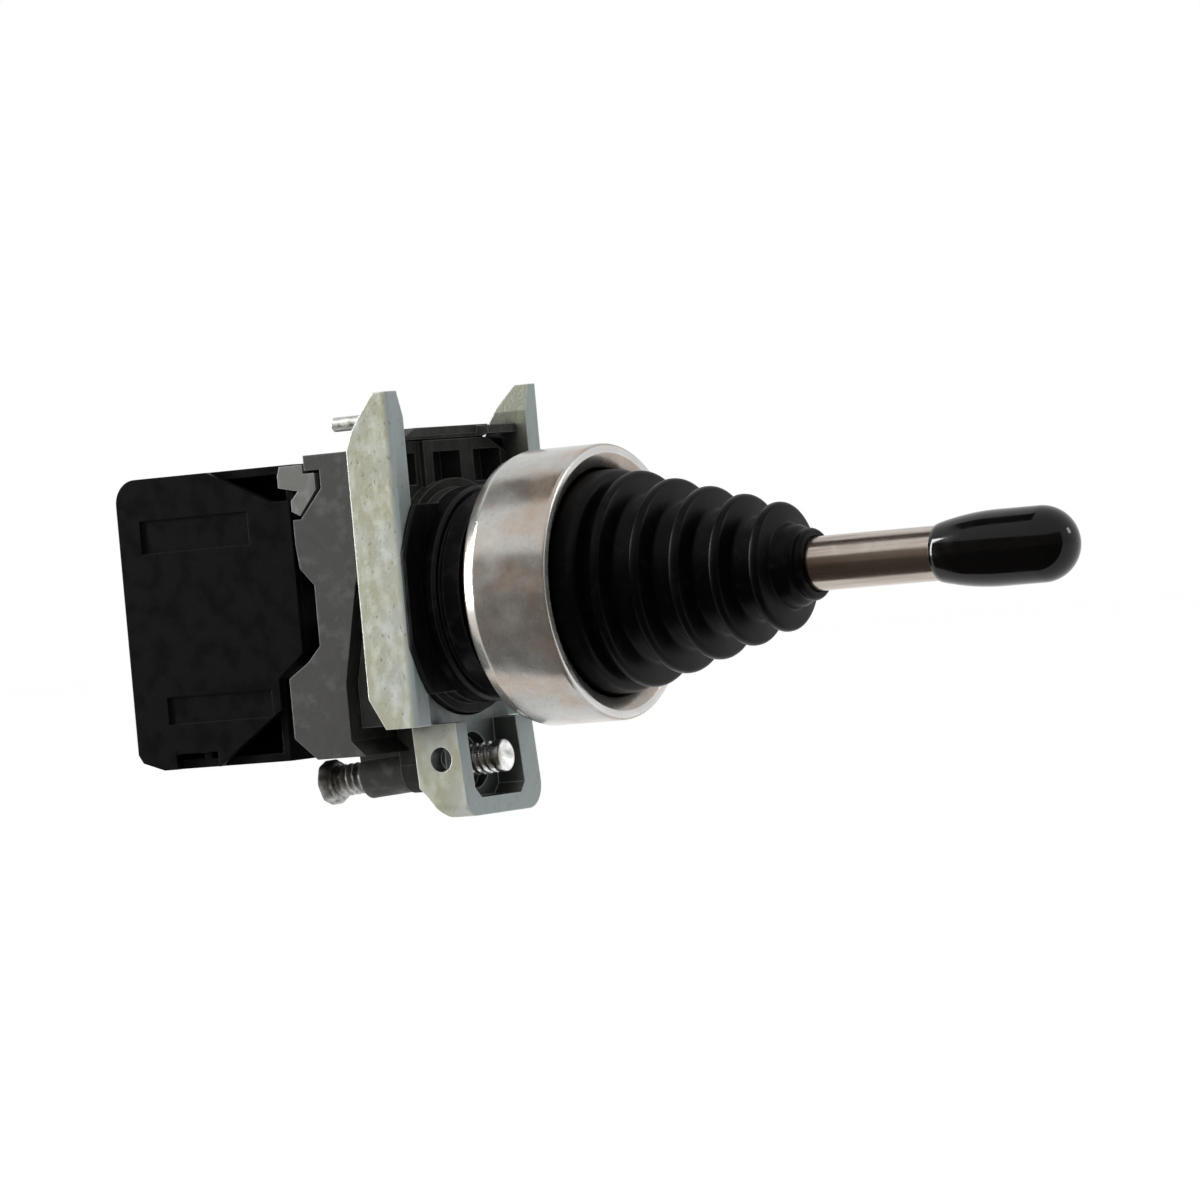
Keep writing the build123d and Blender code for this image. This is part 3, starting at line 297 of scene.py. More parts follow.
def plated(name, colour, stain, roughness, spot_size=1.2 * MM, edge=(0.85, 0.86, 0.86)):
    """Plated metal with faint stains, fine scratches and a painted highlight on its edges."""
    finish, tree, shader = new_finish(name, roughness, metallic=1.0)
    normal, edges = soft_edges(tree, 0.2 * MM)
    stained = tint(tree, spots(tree, spot_size, 0.45, 0.7), colour, stain)
    # Painted highlight: the edges are tinted towards a light colour.
    bright = tint(tree, edges, stained, edge, 0.6)
    sheen = spots(tree, 0.8 * MM, shift=0.1)
    tree.links.new(bright, shader.inputs["Base Color"])
    tree.links.new(span(tree, sheen, roughness - 0.06, roughness + 0.12), shader.inputs["Roughness"])
    bump(tree, shader, spots(tree, 0.3 * MM, 0.3, 0.7, (1, 6, 1)), 0.01 * MM, normal)
    return finish


def dress(finish, *names):
    """Gives CAD nodes a finish."""
    for name in names:
        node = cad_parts[name]
        node.data.materials.clear()
        node.data.materials.append(finish)


def nodes_with(*starts):
    """The names of the CAD nodes that begin with one of these words."""
    return [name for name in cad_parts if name.startswith(starts)]


def new_piece(name, verts, faces, *finishes):
    """A piece made of corners and faces, in the scene."""
    mesh = bpy.data.meshes.new(name)
    mesh.from_pydata(verts, [], faces)
    for finish in finishes:
        mesh.materials.append(finish)
    piece = bpy.data.objects.new(name, mesh)
    bpy.context.scene.collection.objects.link(piece)
    return piece


def smooth(piece):
    """Shades a piece smooth all over."""
    piece.data.polygons.foreach_set("use_smooth", [True] * len(piece.data.polygons))


def tube_faces(rows, around):
    """The faces of a tube, given as rows of points round it, with a cap at each end."""
    faces = [tuple(range(around)), tuple(reversed(range((rows - 1) * around, rows * around)))]
    for row in range(rows - 1):
        low, high = row * around, (row + 1) * around
        for step in range(around):
            beside = (step + 1) % around
            faces.append((low + step, high + step, high + beside, low + beside))
    return faces


def lathe(name, profile, around, finish):
    """A closed profile of (x, radius) points turned about the X axis."""
    verts = []
    for x, radius in profile:
        for step in range(around):
            angle = FULL_TURN * step / around
            verts.append((x, radius * math.cos(angle), radius * math.sin(angle)))
    faces = []
    for row in range(len(profile)):
        low, high = row * around, (row + 1) % len(profile) * around
        for step in range(around):
            beside = (step + 1) % around
            faces.append((low + step, low + beside, high + beside, high + step))
    piece = new_piece(name, verts, faces, finish)
    smooth(piece)
    return piece


def rounded(points, radius):
    """A profile with each corner rounded, given as (x, radius) or (x, radius, corner radius) points."""
    steps = 5
    largest_share = 1 / 2.2
    result = []
    for index, point in enumerate(points):
        here = Vector(point[:2])
        back = Vector(points[index - 1][:2]) - here
        ahead = Vector(points[(index + 1) % len(points)][:2]) - here
        corner = point[2] if len(point) > 2 else radius
        reach = min(corner, back.length * largest_share, ahead.length * largest_share)
        start = here + back.normalized() * reach
        end = here + ahead.normalized() * reach
        for step in range(steps + 1):
            share = step / steps
            curve = start * (1 - share) ** 2 + here * 2 * share * (1 - share) + end * share ** 2
            result.append((curve.x, curve.y))
    return result


class SWITCH_OT_bezel(bpy.types.Operator):
    """Finish the metal ring in front of the panel and the seal behind it"""

    bl_idname = "switch.bezel"
    bl_label = "Bezel and seal"

    def execute(self, context):
        sizes = context.scene.switch_sizes
        front, radius, bore = sizes.bezel_front, sizes.bezel_radius, sizes.bezel_bore
        rear_mouth, front_mouth = sizes.bezel_rear_mouth, sizes.bezel_front_mouth
        rear_lip, front_lip = 2.0 * MM, 10.8 * MM
        profile = [
            (front - 0.02 * MM, radius, 0.9 * MM),
            (2.1 * MM, radius, 0.3 * MM),
            (0.3 * MM, radius - 0.65 * MM, 0.3 * MM),
            (0, radius - 1.1 * MM),
            (0, rear_mouth),
            (rear_lip, rear_mouth),
            (rear_lip, bore),
            (front_lip, bore),
            (front_lip, front_mouth),
            (front - 1.2 * MM, front_mouth, 0.3 * MM),
            (front, radius - 1.25 * MM, 0.15 * MM),
        ]
        finish = self.satin(context.scene.switch_colours)
        ring = lathe("metal_ring", rounded(profile, 0.1 * MM), 192, finish)
        ring.data.set_sharp_from_angle(angle=SHARP_ANGLE)
        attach(ring, "head")
        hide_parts("bezel_ring")
        dress(bpy.data.materials["seal_rubber"], "bezel_gasket")
        return {"FINISHED"}

    def satin(self, colours):
        """Satin metal: handled patches, small stains, painted shade in the mouth, a painted highlight on the front
        face and on the edges.
        """
        finish, tree, shader = new_finish("bezel_satin", 0.2, metallic=0.85)
        normal, edges = soft_edges(tree, 0.3 * MM)
        cloud = spots(tree, 7 * MM, 0.38, 0.62, shift=0.2)
        haze = spots(tree, 3.2 * MM, 0.3, 0.75)
        stain = spots(tree, 0.6 * MM, 0.5, 0.75)
        handled = tint(tree, cloud, colours.bezel, colours.bezel_patch)
        mottled = tint(tree, stain, handled, (0.3, 0.24, 0.2), 0.3)
        # Painted shade: the mouth and other recesses are tinted dark.
        dark = tint(tree, shaded_recesses(tree, 3 * MM, 0.7, 0.35), mottled, (0.05, 0.05, 0.05), 0.5)
        # Painted highlight: the flat front face of the ring is tinted lighter.
        lip_highlight = tint(tree, facing(tree, FRONT, 0.9, 0.97), dark, (0.68, 0.67, 0.65))
        # Painted highlight: the edges are tinted almost white.
        bright = tint(tree, edges, lip_highlight, (0.95, 0.95, 0.95), 0.9)
        tree.links.new(bright, shader.inputs["Base Color"])
        tree.links.new(span(tree, haze, 0.8, 0.62), shader.inputs["Metallic"])
        tree.links.new(span(tree, haze, 0.17, 0.26), shader.inputs["Roughness"])
        bump(tree, shader, spots(tree, 0.9 * MM, 0.3, 0.7), 0.004 * MM, normal)
        return finish


class SWITCH_OT_boot(bpy.types.Operator):
    """Make the rubber bellows"""

    bl_idname = "switch.boot"
    bl_label = "Boot"

    def execute(self, context):
        colours = context.scene.switch_colours
        seal = moulded("seal_rubber", colours.rubber, 0.6, (0.03, 0.03, 0.03), 0.3, 0.4, specular=0.15)
        finish, tree, shader = new_finish("boot_rubber", 0.36, specular=0.07)
        dust = spots(tree, 1.4 * MM, 0.55, 0.8)
        dusty = tint(tree, dust, colours.rubber, (0.02, 0.02, 0.019), 0.25)
        tree.links.new(dusty, shader.inputs["Base Color"])
        tree.links.new(span(tree, spots(tree, 4 * MM), 0.32, 0.4), shader.inputs["Roughness"])
        bump(tree, shader, spots(tree, 0.3 * MM, 0.3, 0.7), 0.003 * MM)
        profile = self.profile(context.scene.switch_sizes)
        boot = lathe("bellows", rounded(profile, 0.5 * MM), 160, finish)
        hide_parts("boot")
        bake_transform(boot)
        dress(seal, "boot_retainer")
        return {"FINISHED"}

    def profile(self, sizes):
        """The rubber's section: rim and base, ridges, neck and tip, and back along the inside."""
        rear, tip, bore = sizes.boot_rear, sizes.boot_tip, sizes.boot_bore
        rim_end = rear + 1.35 * MM
        base = [
            (rear, sizes.boot_rim, 0.2 * MM),
            (rim_end, sizes.boot_rim, 0.2 * MM),
            (rim_end, sizes.boot_base, 0.2 * MM),
            (15.6 * MM, sizes.boot_base, 1.0 * MM),
            (16.1 * MM, 13.2 * MM, 0.5 * MM),
        ]
        # Points of a ridge in millimetres: ahead of its middle, below its radius, corner radius.
        ridge_shape = ((-1.4, 2.5, 0.5), (-0.7, -0.1, 0.8), (0.65, 0.0, 0.8), (1.2, 3.3, 0.6))
        ridges = []
        for ridge in range(sizes.ridge_count):
            x = sizes.first_ridge_x + ridge * sizes.ridge_pitch
            radius = sizes.first_ridge_radius - ridge * sizes.ridge_step
            for ahead, below, corner in ridge_shape:
                ridges.append((x + ahead * MM, radius - below * MM, corner * MM))
        hollow = ridges[:-len(ridge_shape)]
        # The last ridge falls to the neck, not into a groove.
        neck = [
            (x + 1.0 * MM, 5.85 * MM, 0.4 * MM),
            (x + 2.9 * MM, 5.5 * MM, 0.5 * MM),
            (x + 3.6 * MM, 4.55 * MM, 0.4 * MM),
            (tip - 0.7 * MM, 5.0 * MM, 0.3 * MM),
            (tip, 4.65 * MM, 0.3 * MM),
        ]
        inner = [(tip, bore, 0.2 * MM), (x - 0.9 * MM, bore, 0.2 * MM)]
        for x, radius, corner in reversed(hollow):
            inner.append((x, radius - 1.3 * sizes.boot_wall, corner))
        inner += [(14.4 * MM, 13.9 * MM, 0.6 * MM), (rear, 14.2 * MM, 0.2 * MM)]
        return base + ridges[:-1] + neck + inner


class SWITCH_OT_lever(bpy.types.Operator):
    """Finish the rod, the grip and the hub"""

    bl_idname = "switch.lever"
    bl_label = "Lever"

    def execute(self, context):
        colours = context.scene.switch_colours
        satin, tree, shader = new_finish("rod_satin", 0.2, metallic=1.0)
        streaks = spots(tree, 0.6 * MM, 0.35, 0.65, (0.05, 1, 1))
        drawn = tint(tree, streaks, colours.steel, (0.36, 0.31, 0.27))
        wiped = tint(tree, spots(tree, 2 * MM, 0.5, 0.7), drawn, (0.5, 0.48, 0.45), 0.35)
        tree.links.new(wiped, shader.inputs["Base Color"])
        tree.links.new(span(tree, streaks, 0.16, 0.26), shader.inputs["Roughness"])
        bump(tree, shader, streaks, 0.003 * MM)
        dress(satin, "lever_rod")
        gloss, tree, shader = new_finish("grip_gloss", 0.09, specular=0.22)
        marks = spots(tree, 0.7 * MM, 0.6, 0.8, (0.2, 1, 1))
        marked = tint(tree, marks, colours.grip, (0.008, 0.008, 0.008), 0.3)
        tree.links.new(marked, shader.inputs["Base Color"])
        tree.links.new(span(tree, spots(tree, 2.5 * MM), 0.06, 0.16), shader.inputs["Roughness"])
        bump(tree, shader, spots(tree, 3 * MM, 0.3, 0.7, detail=1.0), 0.01 * MM)
        grip = self.grip(context.scene.switch_sizes, gloss)
        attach(grip, "lever")
        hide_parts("grip")
        hub = moulded("hub_plastic", (0.02, 0.02, 0.02), 0.5, (0.06, 0.06, 0.06), 0.3, 0.5)
        dress(hub, "lever_hub")
        return {"FINISHED"}

    def grip(self, sizes, finish):
        """The hand grip: a short flare, a straight body and a round end."""
        start, radius = sizes.grip_start, sizes.grip_radius
        end = start + sizes.grip_length
        bore, depth = 3.72 * MM, 12 * MM
        mouth, flare_start, flare_length = 4.0 * MM, start + 0.12 * MM, 9 * MM
        flare_steps, dome_steps = 12, 24
        profile = [
            (start + depth, 0),
            (start + depth, bore),
            (start, bore),
            (start, mouth - 0.15 * MM),
        ]
        for step in range(flare_steps + 1):
            share = step / flare_steps
            swell = share * (2 - share)
            profile.append((flare_start + share * flare_length, mouth + (radius - mouth) * swell))
        for step in range(1, dome_steps + 1):
            angle = math.pi / 2 * step / dome_steps
            profile.append((end - radius + radius * math.sin(angle), radius * math.cos(angle)))
        return lathe("hand_grip", profile, 96, finish)


class SWITCH_OT_head(bpy.types.Operator):
    """Finish the barrel and what works inside it"""

    bl_idname = "switch.head"
    bl_label = "Head and push pins"

    def execute(self, context):
        sizes = context.scene.switch_sizes
        black = moulded("head_plastic", (0.012, 0.012, 0.012), 0.45, (0.05, 0.05, 0.05), 0.3, 0.5)
        dress(black, "head_barrel", "guide_plate")
        wire = plated("spring_wire", (0.55, 0.55, 0.55), (0.4, 0.4, 0.4), 0.25)
        dress(wire, "pivot_pin")
        for side in ("left", "right"):
            self.spring(f"return_spring_{side}", 0, "head", f"push_pin_{side}", sizes, wire)
            self.spring(f"contact_spring_{side}", 0, "collar", f"contact_drive_{side}", sizes, wire)
        self.spring("release_spring", 1, "collar", "release_slider", sizes, wire)
        pale = moulded("pin_plastic", (0.6, 0.59, 0.55), 0.4, (0.75, 0.74, 0.7), 0.3, 0.4)
        dress(pale, *nodes_with("push_pin", "plunger"))
        return {"FINISHED"}

    def spring(self, node, axis, held, pushed, sizes, finish):
        """A coil in a CAD spring's place, with closed ends."""
        turns, closed_turns, per_turn, around = 6.5, 0.75, 24, 8
        wire = sizes.spring_wire
        closed_pitch = 2.1 * wire
        closed = closed_pitch * closed_turns
        low, high = (Vector(corner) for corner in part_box(node))
        centre = (low + high) / 2
        radius = (high[2] - low[2]) / 2 - wire
        along = Vector((1, 0, 0)) if axis == 0 else Vector((0, 1, 0))
        across = along.cross(UPRIGHT)
        length = high[axis] - low[axis] - 2 * wire
        steps = int(turns * per_turn)
        verts = []
        for step in range(steps + 1):
            turn = turns * step / steps
            open_share = (turn - closed_turns) / (turns - 2 * closed_turns)
            middle = closed + open_share * (length - 2 * closed)
            rise = min(max(middle, turn * closed_pitch), length - (turns - turn) * closed_pitch)
            angle = FULL_TURN * turn
            outward = across * math.cos(angle) + UPRIGHT * math.sin(angle)
            point = centre + along * (low[axis] + wire + rise - centre[axis]) + outward * radius
            for corner in range(around):
                lean = FULL_TURN * corner / around
                verts.append(point + (outward * math.cos(lean) + along * math.sin(lean)) * wire)
        piece = new_piece("coil_" + node, verts, tube_faces(steps + 1, around), finish)
        smooth(piece)
        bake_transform(piece)
        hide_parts(node)


class SWITCH_OT_collar(bpy.types.Operator):
    """Finish the zinc collar, its insert, ring and release slider"""

    bl_idname = "switch.collar"
    bl_label = "Collar"

    def execute(self, context):
        colours = context.scene.switch_colours
        dress(self.casting(colours), "collar_casting")
        insert = moulded("insert_plastic", colours.insert, 0.5, (0.2, 0.2, 0.19), 0.1, 0.6, specular=0.04)
        dress(insert, "collar_insert")
        black = (0.003, 0.003, 0.003)
        ring = moulded("ring_plastic", black, 0.38, (0.05, 0.05, 0.05), 0.15, 0.5, specular=0.12)
        dress(ring, "panel_ring")
        grey = (0.05, 0.05, 0.046)
        slider = moulded("slider_plastic", grey, 0.5, (0.25, 0.25, 0.24), 0.15, 0.7, specular=0.08)
        dress(slider, "release_slider")
        pin = plated("pin_zinc", (0.55, 0.57, 0.53), (0.42, 0.42, 0.38), 0.4, spot_size=2.5 * MM)
        dress(pin, "locating_pin")
        flange = self.flange(ring)
        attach(flange, "collar")
        return {"FINISHED"}

    def casting(self, colours):
        """Passivated zinc: stains, blotches, a painted reflection on the front faces, painted shade on the right
        ear's inner face, specks, painted shade in recesses and painted highlights on the edges.
        """
        finish, tree, shader = new_finish("zinc_casting", 0.5, metallic=0.2)
        normal, edges = soft_edges(tree, 0.28 * MM)
        stain = spots(tree, 6 * MM, 0.4, 0.62, shift=0.7)
        blotch = spots(tree, 1.5 * MM, 0.46, 0.7, (1, 1, 0.6))
        speck = spots(tree, 0.5 * MM, 0.62, 0.72, (1, 1, 0.5), shift=0.4)
        recess_shade = shaded_recesses(tree, 12 * MM, 0.72, 0.42)
        body = tint(tree, stain, colours.zinc, colours.zinc_stain)
        clouded = tint(tree, blotch, body, (0.56, 0.6, 0.56), 0.55)
        # Painted reflection: the faces towards the panel are tinted cooler.
        front_reflection = tint(tree, facing(tree, FRONT, 0.3, 0.75), clouded, colours.zinc_front_reflection)
        # Painted shade: the right ear's inner face is tinted darker.
        inner = tint(tree, self.shaded_inner_face(tree), front_reflection, (0.23, 0.24, 0.18))
        specked = tint(tree, speck, inner, (0.15, 0.14, 0.09), 0.6)
        # Painted shade: the recesses are tinted nearly black.
        recess_shaded = tint(tree, recess_shade, specked, (0.012, 0.02, 0.02), 0.9)
        # Painted highlight: the edges are tinted almost white.
        bright = tint(tree, edges, recess_shaded, (0.85, 0.9, 0.9), 0.6)
        tree.links.new(bright, shader.inputs["Base Color"])
        tree.links.new(span(tree, blotch, 0.38, 0.56), shader.inputs["Roughness"])
        bump(tree, shader, spots(tree, 0.5 * MM, 0.3, 0.7), 0.02 * MM, normal)
        return finish

    def shaded_inner_face(self, tree):
        """A mask of the right ear's inner face, which is painted darker as painted shade."""
        place = tree.nodes.new("ShaderNodeTexCoord")
        split = tree.nodes.new("ShaderNodeSeparateXYZ")
        tree.links.new(place.outputs["Object"], split.inputs["Vector"])
        beyond = ramp(tree, split.outputs["Y"], 13 * MM, 15 * MM)
        return combine(tree, "MULTIPLY", beyond, facing(tree, (0, -1, 0), 0.6, 0.9))

    def flange(self, finish):
        """The insert's two rims on the ears' fronts, its top right corner and its rib behind the slider."""
        verts, faces = [], []
        self.rims(verts, faces)
        # Outlines of the corner and the rib as (y, z) in millimetres, then where they start and end on X.
        corner = [(11.0, 21.65), (11.15, 21.6), (15.8, 19.35), (15.85, 21.4), (11.2, 21.66)]
        rib = [(4.0, 21.5), (15.4, 21.3), (15.8, 21.6), (15.8, 22.6), (4.0, 22.75)]
        for shape, rear, front in ((corner, -15.6, -12.6), (rib, -16.85, -15.65)):
            first, count = len(verts), len(shape)
            verts += [(x * MM, y * MM, z * MM) for x in (rear, front) for y, z in shape]
            for step in range(count):
                low, beside = first + step, first + (step + 1) % count
                faces.append((low, beside, beside + count, low + count))
            faces.append(tuple(range(first + count - 1, first - 1, -1)))
            faces.append(tuple(range(first + count, first + 2 * count)))
        return new_piece("insert_trim", verts, faces, finish)

    def rims(self, verts, faces):
        """Adds the two rims, each an arc beside the ring that is cut off at the ear's outer side."""
        inner, outer, limit, reach = 16.02 * MM, 20.6 * MM, 19.6 * MM, 13.0 * MM
        back, front = -8.42 * MM, -7.8 * MM
        section = (
            (back, inner),
            (back, outer),
            (front - 0.25 * MM, outer),
            (front, outer - 0.3 * MM),
            (front, inner),
        )
        steps, count = 48, len(section)
        for side in (-1, 1):
            turn = side  # a face keeps its order on the right and is reversed on the left
            first = len(verts)
            for step in range(steps + 1):
                height = reach * math.sin(math.pi * (step / steps - 0.5))
                for x, radius in section:
                    verts.append((x, side * min(limit, math.sqrt(radius ** 2 - height ** 2)), height))
            for low in range(first, first + steps * count, count):
                for corner in range(count):
                    beside = (corner + 1) % count
                    face = (low + corner, low + beside, low + count + beside, low + count + corner)
                    faces.append(face[::turn])
            last = first + steps * count
            faces.append(tuple(range(first, first + count))[::-turn])
            faces.append(tuple(range(last, last + count))[::turn])


class SWITCH_OT_screws(bpy.types.Operator):
    """Make the clamp screw's thread and finish the small screws"""

    bl_idname = "switch.screws"
    bl_label = "Screws"

    def execute(self, context):
        colours = context.scene.switch_colours
        finish = plated("screw_plating", colours.screw, (0.45, 0.45, 0.42), 0.3)
        dress(finish, *nodes_with("terminal_screw", "wire_clamp"))
        # The head end of the clamp screw takes a darker copy of the plating.
        dark = plated("screw_head", (0.46, 0.46, 0.44), (0.2, 0.2, 0.19), 0.5, edge=(0.8, 0.8, 0.78))
        screw = self.threaded(context.scene.switch_sizes, finish, dark)
        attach(screw, "clamp_screw")
        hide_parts("clamp_screw")
        return {"FINISHED"}

    def threaded(self, sizes, bright, dark):
        """The clamp screw, from its recessed head to its cup point."""
        around, per_turn = 64, 8
        head_front, thread_end, point = -22.4 * MM, 3.9 * MM, 5.3 * MM
        head_rear = head_front - 2.0 * MM
        recess_floor = head_front - 0.9 * MM
        dark_until = -24.5 * MM
        place = Vector((-12 * MM, 0, -22.85 * MM))
        head = sizes.head_radius
        radius = sizes.screw_radius
        root = radius - sizes.thread_depth
        rings = [
            (recess_floor, lambda angle: 0.5 * MM),
            (recess_floor, lambda angle: self.cross(angle, 0.55 * MM, 1.7 * MM)),
            (head_rear, lambda angle: self.cross(angle, 0.65 * MM, 1.9 * MM)),
            (head_rear, lambda angle: self.lobed(angle, head - 0.35 * MM)),
            (head_rear + 0.2 * MM, lambda angle: self.lobed(angle, head)),
            (head_front - 0.3 * MM, lambda angle: self.lobed(angle, head)),
            (head_front, lambda angle: self.lobed(angle, head - 0.3 * MM)),
            (head_front, lambda angle: root),
        ]
        step = sizes.thread_pitch / per_turn
        for row in range(int((thread_end - head_front) / step)):
            along = head_front + (row + 0.5) * step
            rings.append((along, lambda angle, along=along: self.thread(sizes, along, angle)))
        rings += [
            (thread_end, lambda angle: root),
            (thread_end + 0.15 * MM, lambda angle: radius),
            (point - 0.2 * MM, lambda angle: radius),
            (point, lambda angle: radius - 0.2 * MM),
            (point, lambda angle: radius - 0.55 * MM),
            (point - 0.8 * MM, lambda angle: 0.4 * MM),
        ]
        verts = []
        for along, shape in rings:
            for index in range(around):
                angle = FULL_TURN * index / around
                verts.append((along, shape(angle) * math.cos(angle), shape(angle) * math.sin(angle)))
        screw = new_piece("threaded_screw", verts, tube_faces(len(rings), around), bright, dark)
        screw.data.transform(Matrix.Translation(place) @ Matrix.Rotation(-sizes.screw_lean, 4, "Y"))
        for face in screw.data.polygons:
            face.material_index = int(face.center.x < dark_until)
        smooth(screw)
        screw.data.set_sharp_from_angle(angle=SHARP_ANGLE)
        return screw

    def thread(self, sizes, along, angle):
        """Radius of the thread at a place along the screw and round it."""
        phase = (along / sizes.thread_pitch - angle / FULL_TURN) % 1.0
        rise = min(1.0, max(0.0, 1.6 - abs(4 * phase - 2) * 1.25))
        return sizes.screw_radius - sizes.thread_depth * (1 - rise)

    def cross(self, angle, narrow, wide):
        """Radius of the head's cross recess, wide within its four slots."""
        slot_half_width = 0.16
        turn = (angle / (math.pi / 2) + 0.5) % 1.0 - 0.5
        return wide if abs(turn) < slot_half_width else narrow

    def lobed(self, angle, radius):
        """Radius of the head's lobed rim."""
        lobes, depth = 8, 0.16 * MM
        return radius - depth * (0.5 - 0.5 * math.cos(lobes * angle))


class SWITCH_OT_carrier(bpy.types.Operator):
    """Finish the contact carrier and its latch hooks"""

    bl_idname = "switch.carrier"
    bl_label = "Contact carrier"

    def execute(self, context):
        colours = context.scene.switch_colours
        body = moulded("carrier_plastic", colours.carrier, 0.55, (0.22, 0.22, 0.2), 0.2, 0.5)
        dress(body, "contact_carrier")
        hook = moulded("hook_plastic", colours.hook, 0.5, (0.4, 0.4, 0.38), 0.3, 0.6)
        dress(hook, "latch_hooks")
        return {"FINISHED"}


class SWITCH_OT_blocks(bpy.types.Operator):
    """Finish the contact blocks and their contacts"""

    bl_idname = "switch.blocks"
    bl_label = "Contact blocks"

    def execute(self, context):
        colours = context.scene.switch_colours
        scuff = (0.008, 0.008, 0.008)
        black = moulded("block_plastic", colours.block, 0.45, scuff, 0.12, 0.3, specular=0.035)
        dress(black, "centre_block", *nodes_with("block_"))
        brass = plated("contact_brass", colours.brass, (0.55, 0.38, 0.16), 0.3)
        dress(brass, *nodes_with("contact_bridge", "fixed_contacts"))
        return {"FINISHED"}


class SWITCH_OT_stage(bpy.types.Operator):
    """Set up the floor, the soft light and the camera"""

    bl_idname = "switch.stage"
    bl_label = "Stage"

    def execute(self, context):
        scene = context.scene
        stage = scene.switch_stage
        scene.view_settings.view_transform = "Standard"
        self.floor(stage)
        self.world(scene)
        self.lamps()
        self.cards()
        self.camera(scene, stage)
        return {"FINISHED"}

    def floor(self, stage):
        """A white floor that glows only where it is seen, so that it has no visible end."""
        glow_strength, half_size = 0.68, 6.0
        finish, tree, shader = new_finish("floor_white", 0.9, specular=0.1)
        shader.inputs["Base Color"].default_value = (0.7, 0.7, 0.7, 1)
        glow = tree.nodes.new("ShaderNodeEmission")
        glow.inputs["Color"].default_value = (1, 1, 1, 1)
        add = tree.nodes.new("ShaderNodeAddShader")
        path = tree.nodes.new("ShaderNodeLightPath").outputs
        seen = combine(tree, "MAXIMUM", path["Is Camera Ray"], path["Is Glossy Ray"])
        tree.links.new(weaken(tree, seen, glow_strength), glow.inputs["Strength"])
        tree.links.new(shader.outputs["BSDF"], add.inputs[0])
        tree.links.new(glow.outputs["Emission"], add.inputs[1])
        tree.links.new(add.outputs["Shader"], tree.nodes["Material Output"].inputs["Surface"])
        corners = [(-half_size, -half_size), (half_size, -half_size), (half_size, half_size), (-half_size, half_size)]
        floor = new_piece("floor", [(x, y, stage.floor_z) for x, y in corners], [(0, 1, 2, 3)], finish)

    def world(self, scene):
        """A white room that lights less than it shows."""
        lit_strength, seen_strength = 0.4, 1.0
        world = bpy.data.worlds.new("studio")
        scene.world = world
        world.use_nodes = True
        tree = world.node_tree
        back = tree.nodes["Background"]
        back.inputs["Color"].default_value = (1, 1, 1, 1)
        path = tree.nodes.new("ShaderNodeLightPath").outputs
        shown = combine(tree, "MAXIMUM", path["Is Camera Ray"], path["Is Glossy Ray"])
        clear = combine(tree, "MAXIMUM", shown, path["Is Transmission Ray"])
        tree.links.new(span(tree, clear, lit_strength, seen_strength), back.inputs["Strength"])

    def lamps(self):
        """Softboxes: place, width, height, power, whether they light, whether they are mirrored."""
        softboxes = {
            "top_softbox": ((-0.1, -0.25, 1.3), 1.0, 0.8, 8.0, True, False),
            "front_softbox": ((-0.15, -1.42, 0.12), 0.8, 0.7, 9.5, True, False),
            "left_softbox": ((-1.25, -0.5, 0.15), 0.3, 1.6, 45.0, False, True),
            "tip_softbox": ((1.0, 0.68, 0.46), 0.24, 0.24, 1.5, False, True),
        }
        for name, (place, width, height, power, lights, mirrored) in softboxes.items():
            light = bpy.data.lights.new(name, "AREA")
            light.shape = "RECTANGLE"
            light.size = width
            light.size_y = height
            light.energy = power
            lamp = bpy.data.objects.new(name, light)
            lamp.location = place
            lamp.rotation_mode = "QUATERNION"
            lamp.rotation_quaternion = Vector(place).to_track_quat("Z", "Y")
            lamp.visible_diffuse = lights
            lamp.visible_glossy = mirrored
            bpy.context.scene.collection.objects.link(lamp)

    def card_finish(self, name, colour):
        """A finish that glows dimly in one colour."""
        finish, tree, _ = new_finish(name, 0.9, specular=0.0)
        glow = tree.nodes.new("ShaderNodeEmission")
        glow.inputs["Color"].default_value = colour
        glow.inputs["Strength"].default_value = 1.0
        tree.links.new(glow.outputs["Emission"], tree.nodes["Material Output"].inputs["Surface"])
        return finish

    def cards(self):
        """Dark studio walls on the camera's side and above, seen only in reflections."""
        distance, bottom, top = 1.6, -0.088, 0.8
        dark = self.card_finish("card_dark", (0.07, 0.056, 0.046, 1))
        brown = self.card_finish("card_brown", (0.17, 0.138, 0.115, 1))
        turns = [math.radians(turn) for turn in range(-150, 1, 10)]
        wall = [(distance * math.cos(turn), distance * math.sin(turn)) for turn in turns]
        # A strip on the floor with a slanted near edge, and the wall above its far edge.
        near = [(x, -0.016 + min(0.0, 0.7 * (x + 0.06)), bottom) for x, _ in wall]
        verts = near + [(x, y, bottom) for x, y in wall] + [(x, y, top) for x, y in wall]
        count = len(wall)
        faces = [
            (low, low + 1, low + count + 1, low + count)
            for row in (0, 1)
            for low in range(row * count, row * count + count - 1)
        ]
        above = len(verts)
        verts += [(-0.95, -0.35, 1.25), (-0.95, 0.35, 1.25), (-0.3, 0.35, 1.5), (-0.3, -0.35, 1.5)]
        faces.append((above, above + 1, above + 2, above + 3))
        card = new_piece("dark_cards", verts, faces, dark, brown)
        wall_faces = card.data.polygons[count - 1:2 * (count - 1)]
        for face in wall_faces:
            face.material_index = 1
        card.visible_camera = False
        card.visible_diffuse = False
        card.visible_shadow = False

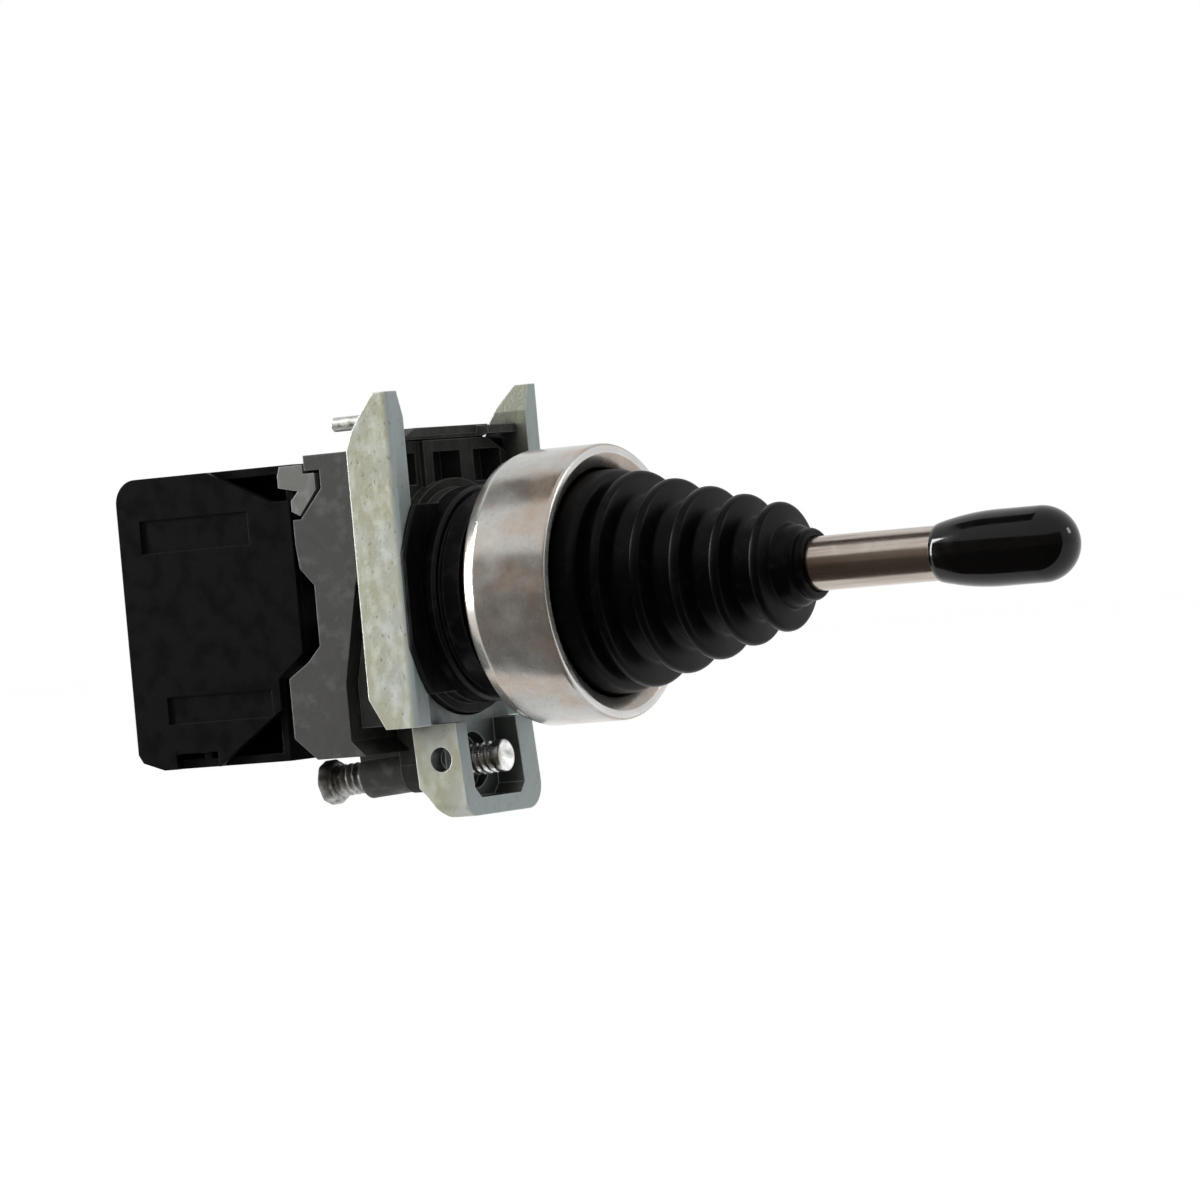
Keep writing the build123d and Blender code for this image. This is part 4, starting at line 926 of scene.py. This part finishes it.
    def camera(self, scene, stage):
        """The camera at the photograph's place, rolled about its line of sight."""
        around, up_angle, roll = stage.camera_azimuth, stage.camera_elevation, stage.camera_roll
        back = Vector((
            math.sin(around) * math.cos(up_angle),
            -math.cos(around) * math.cos(up_angle),
            math.sin(up_angle),
        ))
        level_right = Vector((math.cos(around), math.sin(around), 0))
        level_up = back.cross(level_right)
        right = level_right * math.cos(roll) - level_up * math.sin(roll)
        up = level_right * math.sin(roll) + level_up * math.cos(roll)
        data = bpy.data.cameras.new("camera")
        data.sensor_width = 36
        data.lens = stage.camera_lens
        data.clip_start = 0.05
        data.clip_end = 20
        camera = bpy.data.objects.new("camera", data)
        place = right * stage.aim[0] - up * stage.aim[1] + back * stage.camera_distance
        camera.matrix_world = Matrix.Translation(place) @ Matrix((right, up, back)).transposed().to_4x4()
        bpy.context.scene.collection.objects.link(camera)
        scene.camera = camera


class SWITCH_PT_panel(bpy.types.Panel):
    """Lists the pieces"""

    bl_idname = "SWITCH_PT_panel"
    bl_label = "Joystick switch"
    bl_space_type = "VIEW_3D"
    bl_region_type = "UI"
    bl_category = "Joystick switch"

    def draw(self, context):
        for piece in pieces:
            self.layout.operator(piece.bl_idname)


groups = {
    "switch_sizes": SwitchSizes,
    "switch_colours": SwitchColours,
    "switch_stage": SwitchStage,
}
# The boot comes before the bezel, whose gasket takes the boot's seal rubber.
pieces = (
    SWITCH_OT_screws,
    SWITCH_OT_boot,
    SWITCH_OT_bezel,
    SWITCH_OT_lever,
    SWITCH_OT_head,
    SWITCH_OT_collar,
    SWITCH_OT_carrier,
    SWITCH_OT_blocks,
    SWITCH_OT_stage,
)
classes = (*groups.values(), *pieces, SWITCH_PT_panel)


def register():
    for cls in classes:
        bpy.utils.register_class(cls)
    for name, group in groups.items():
        setattr(bpy.types.Scene, name, bpy.props.PointerProperty(type=group))


def unregister():
    for name in groups:
        delattr(bpy.types.Scene, name)
    for cls in reversed(classes):
        bpy.utils.unregister_class(cls)


def main():
    register()
    for piece in pieces:
        getattr(bpy.ops.switch, piece.bl_idname.split(".")[1])()


if __name__ == "__main__":
    main()
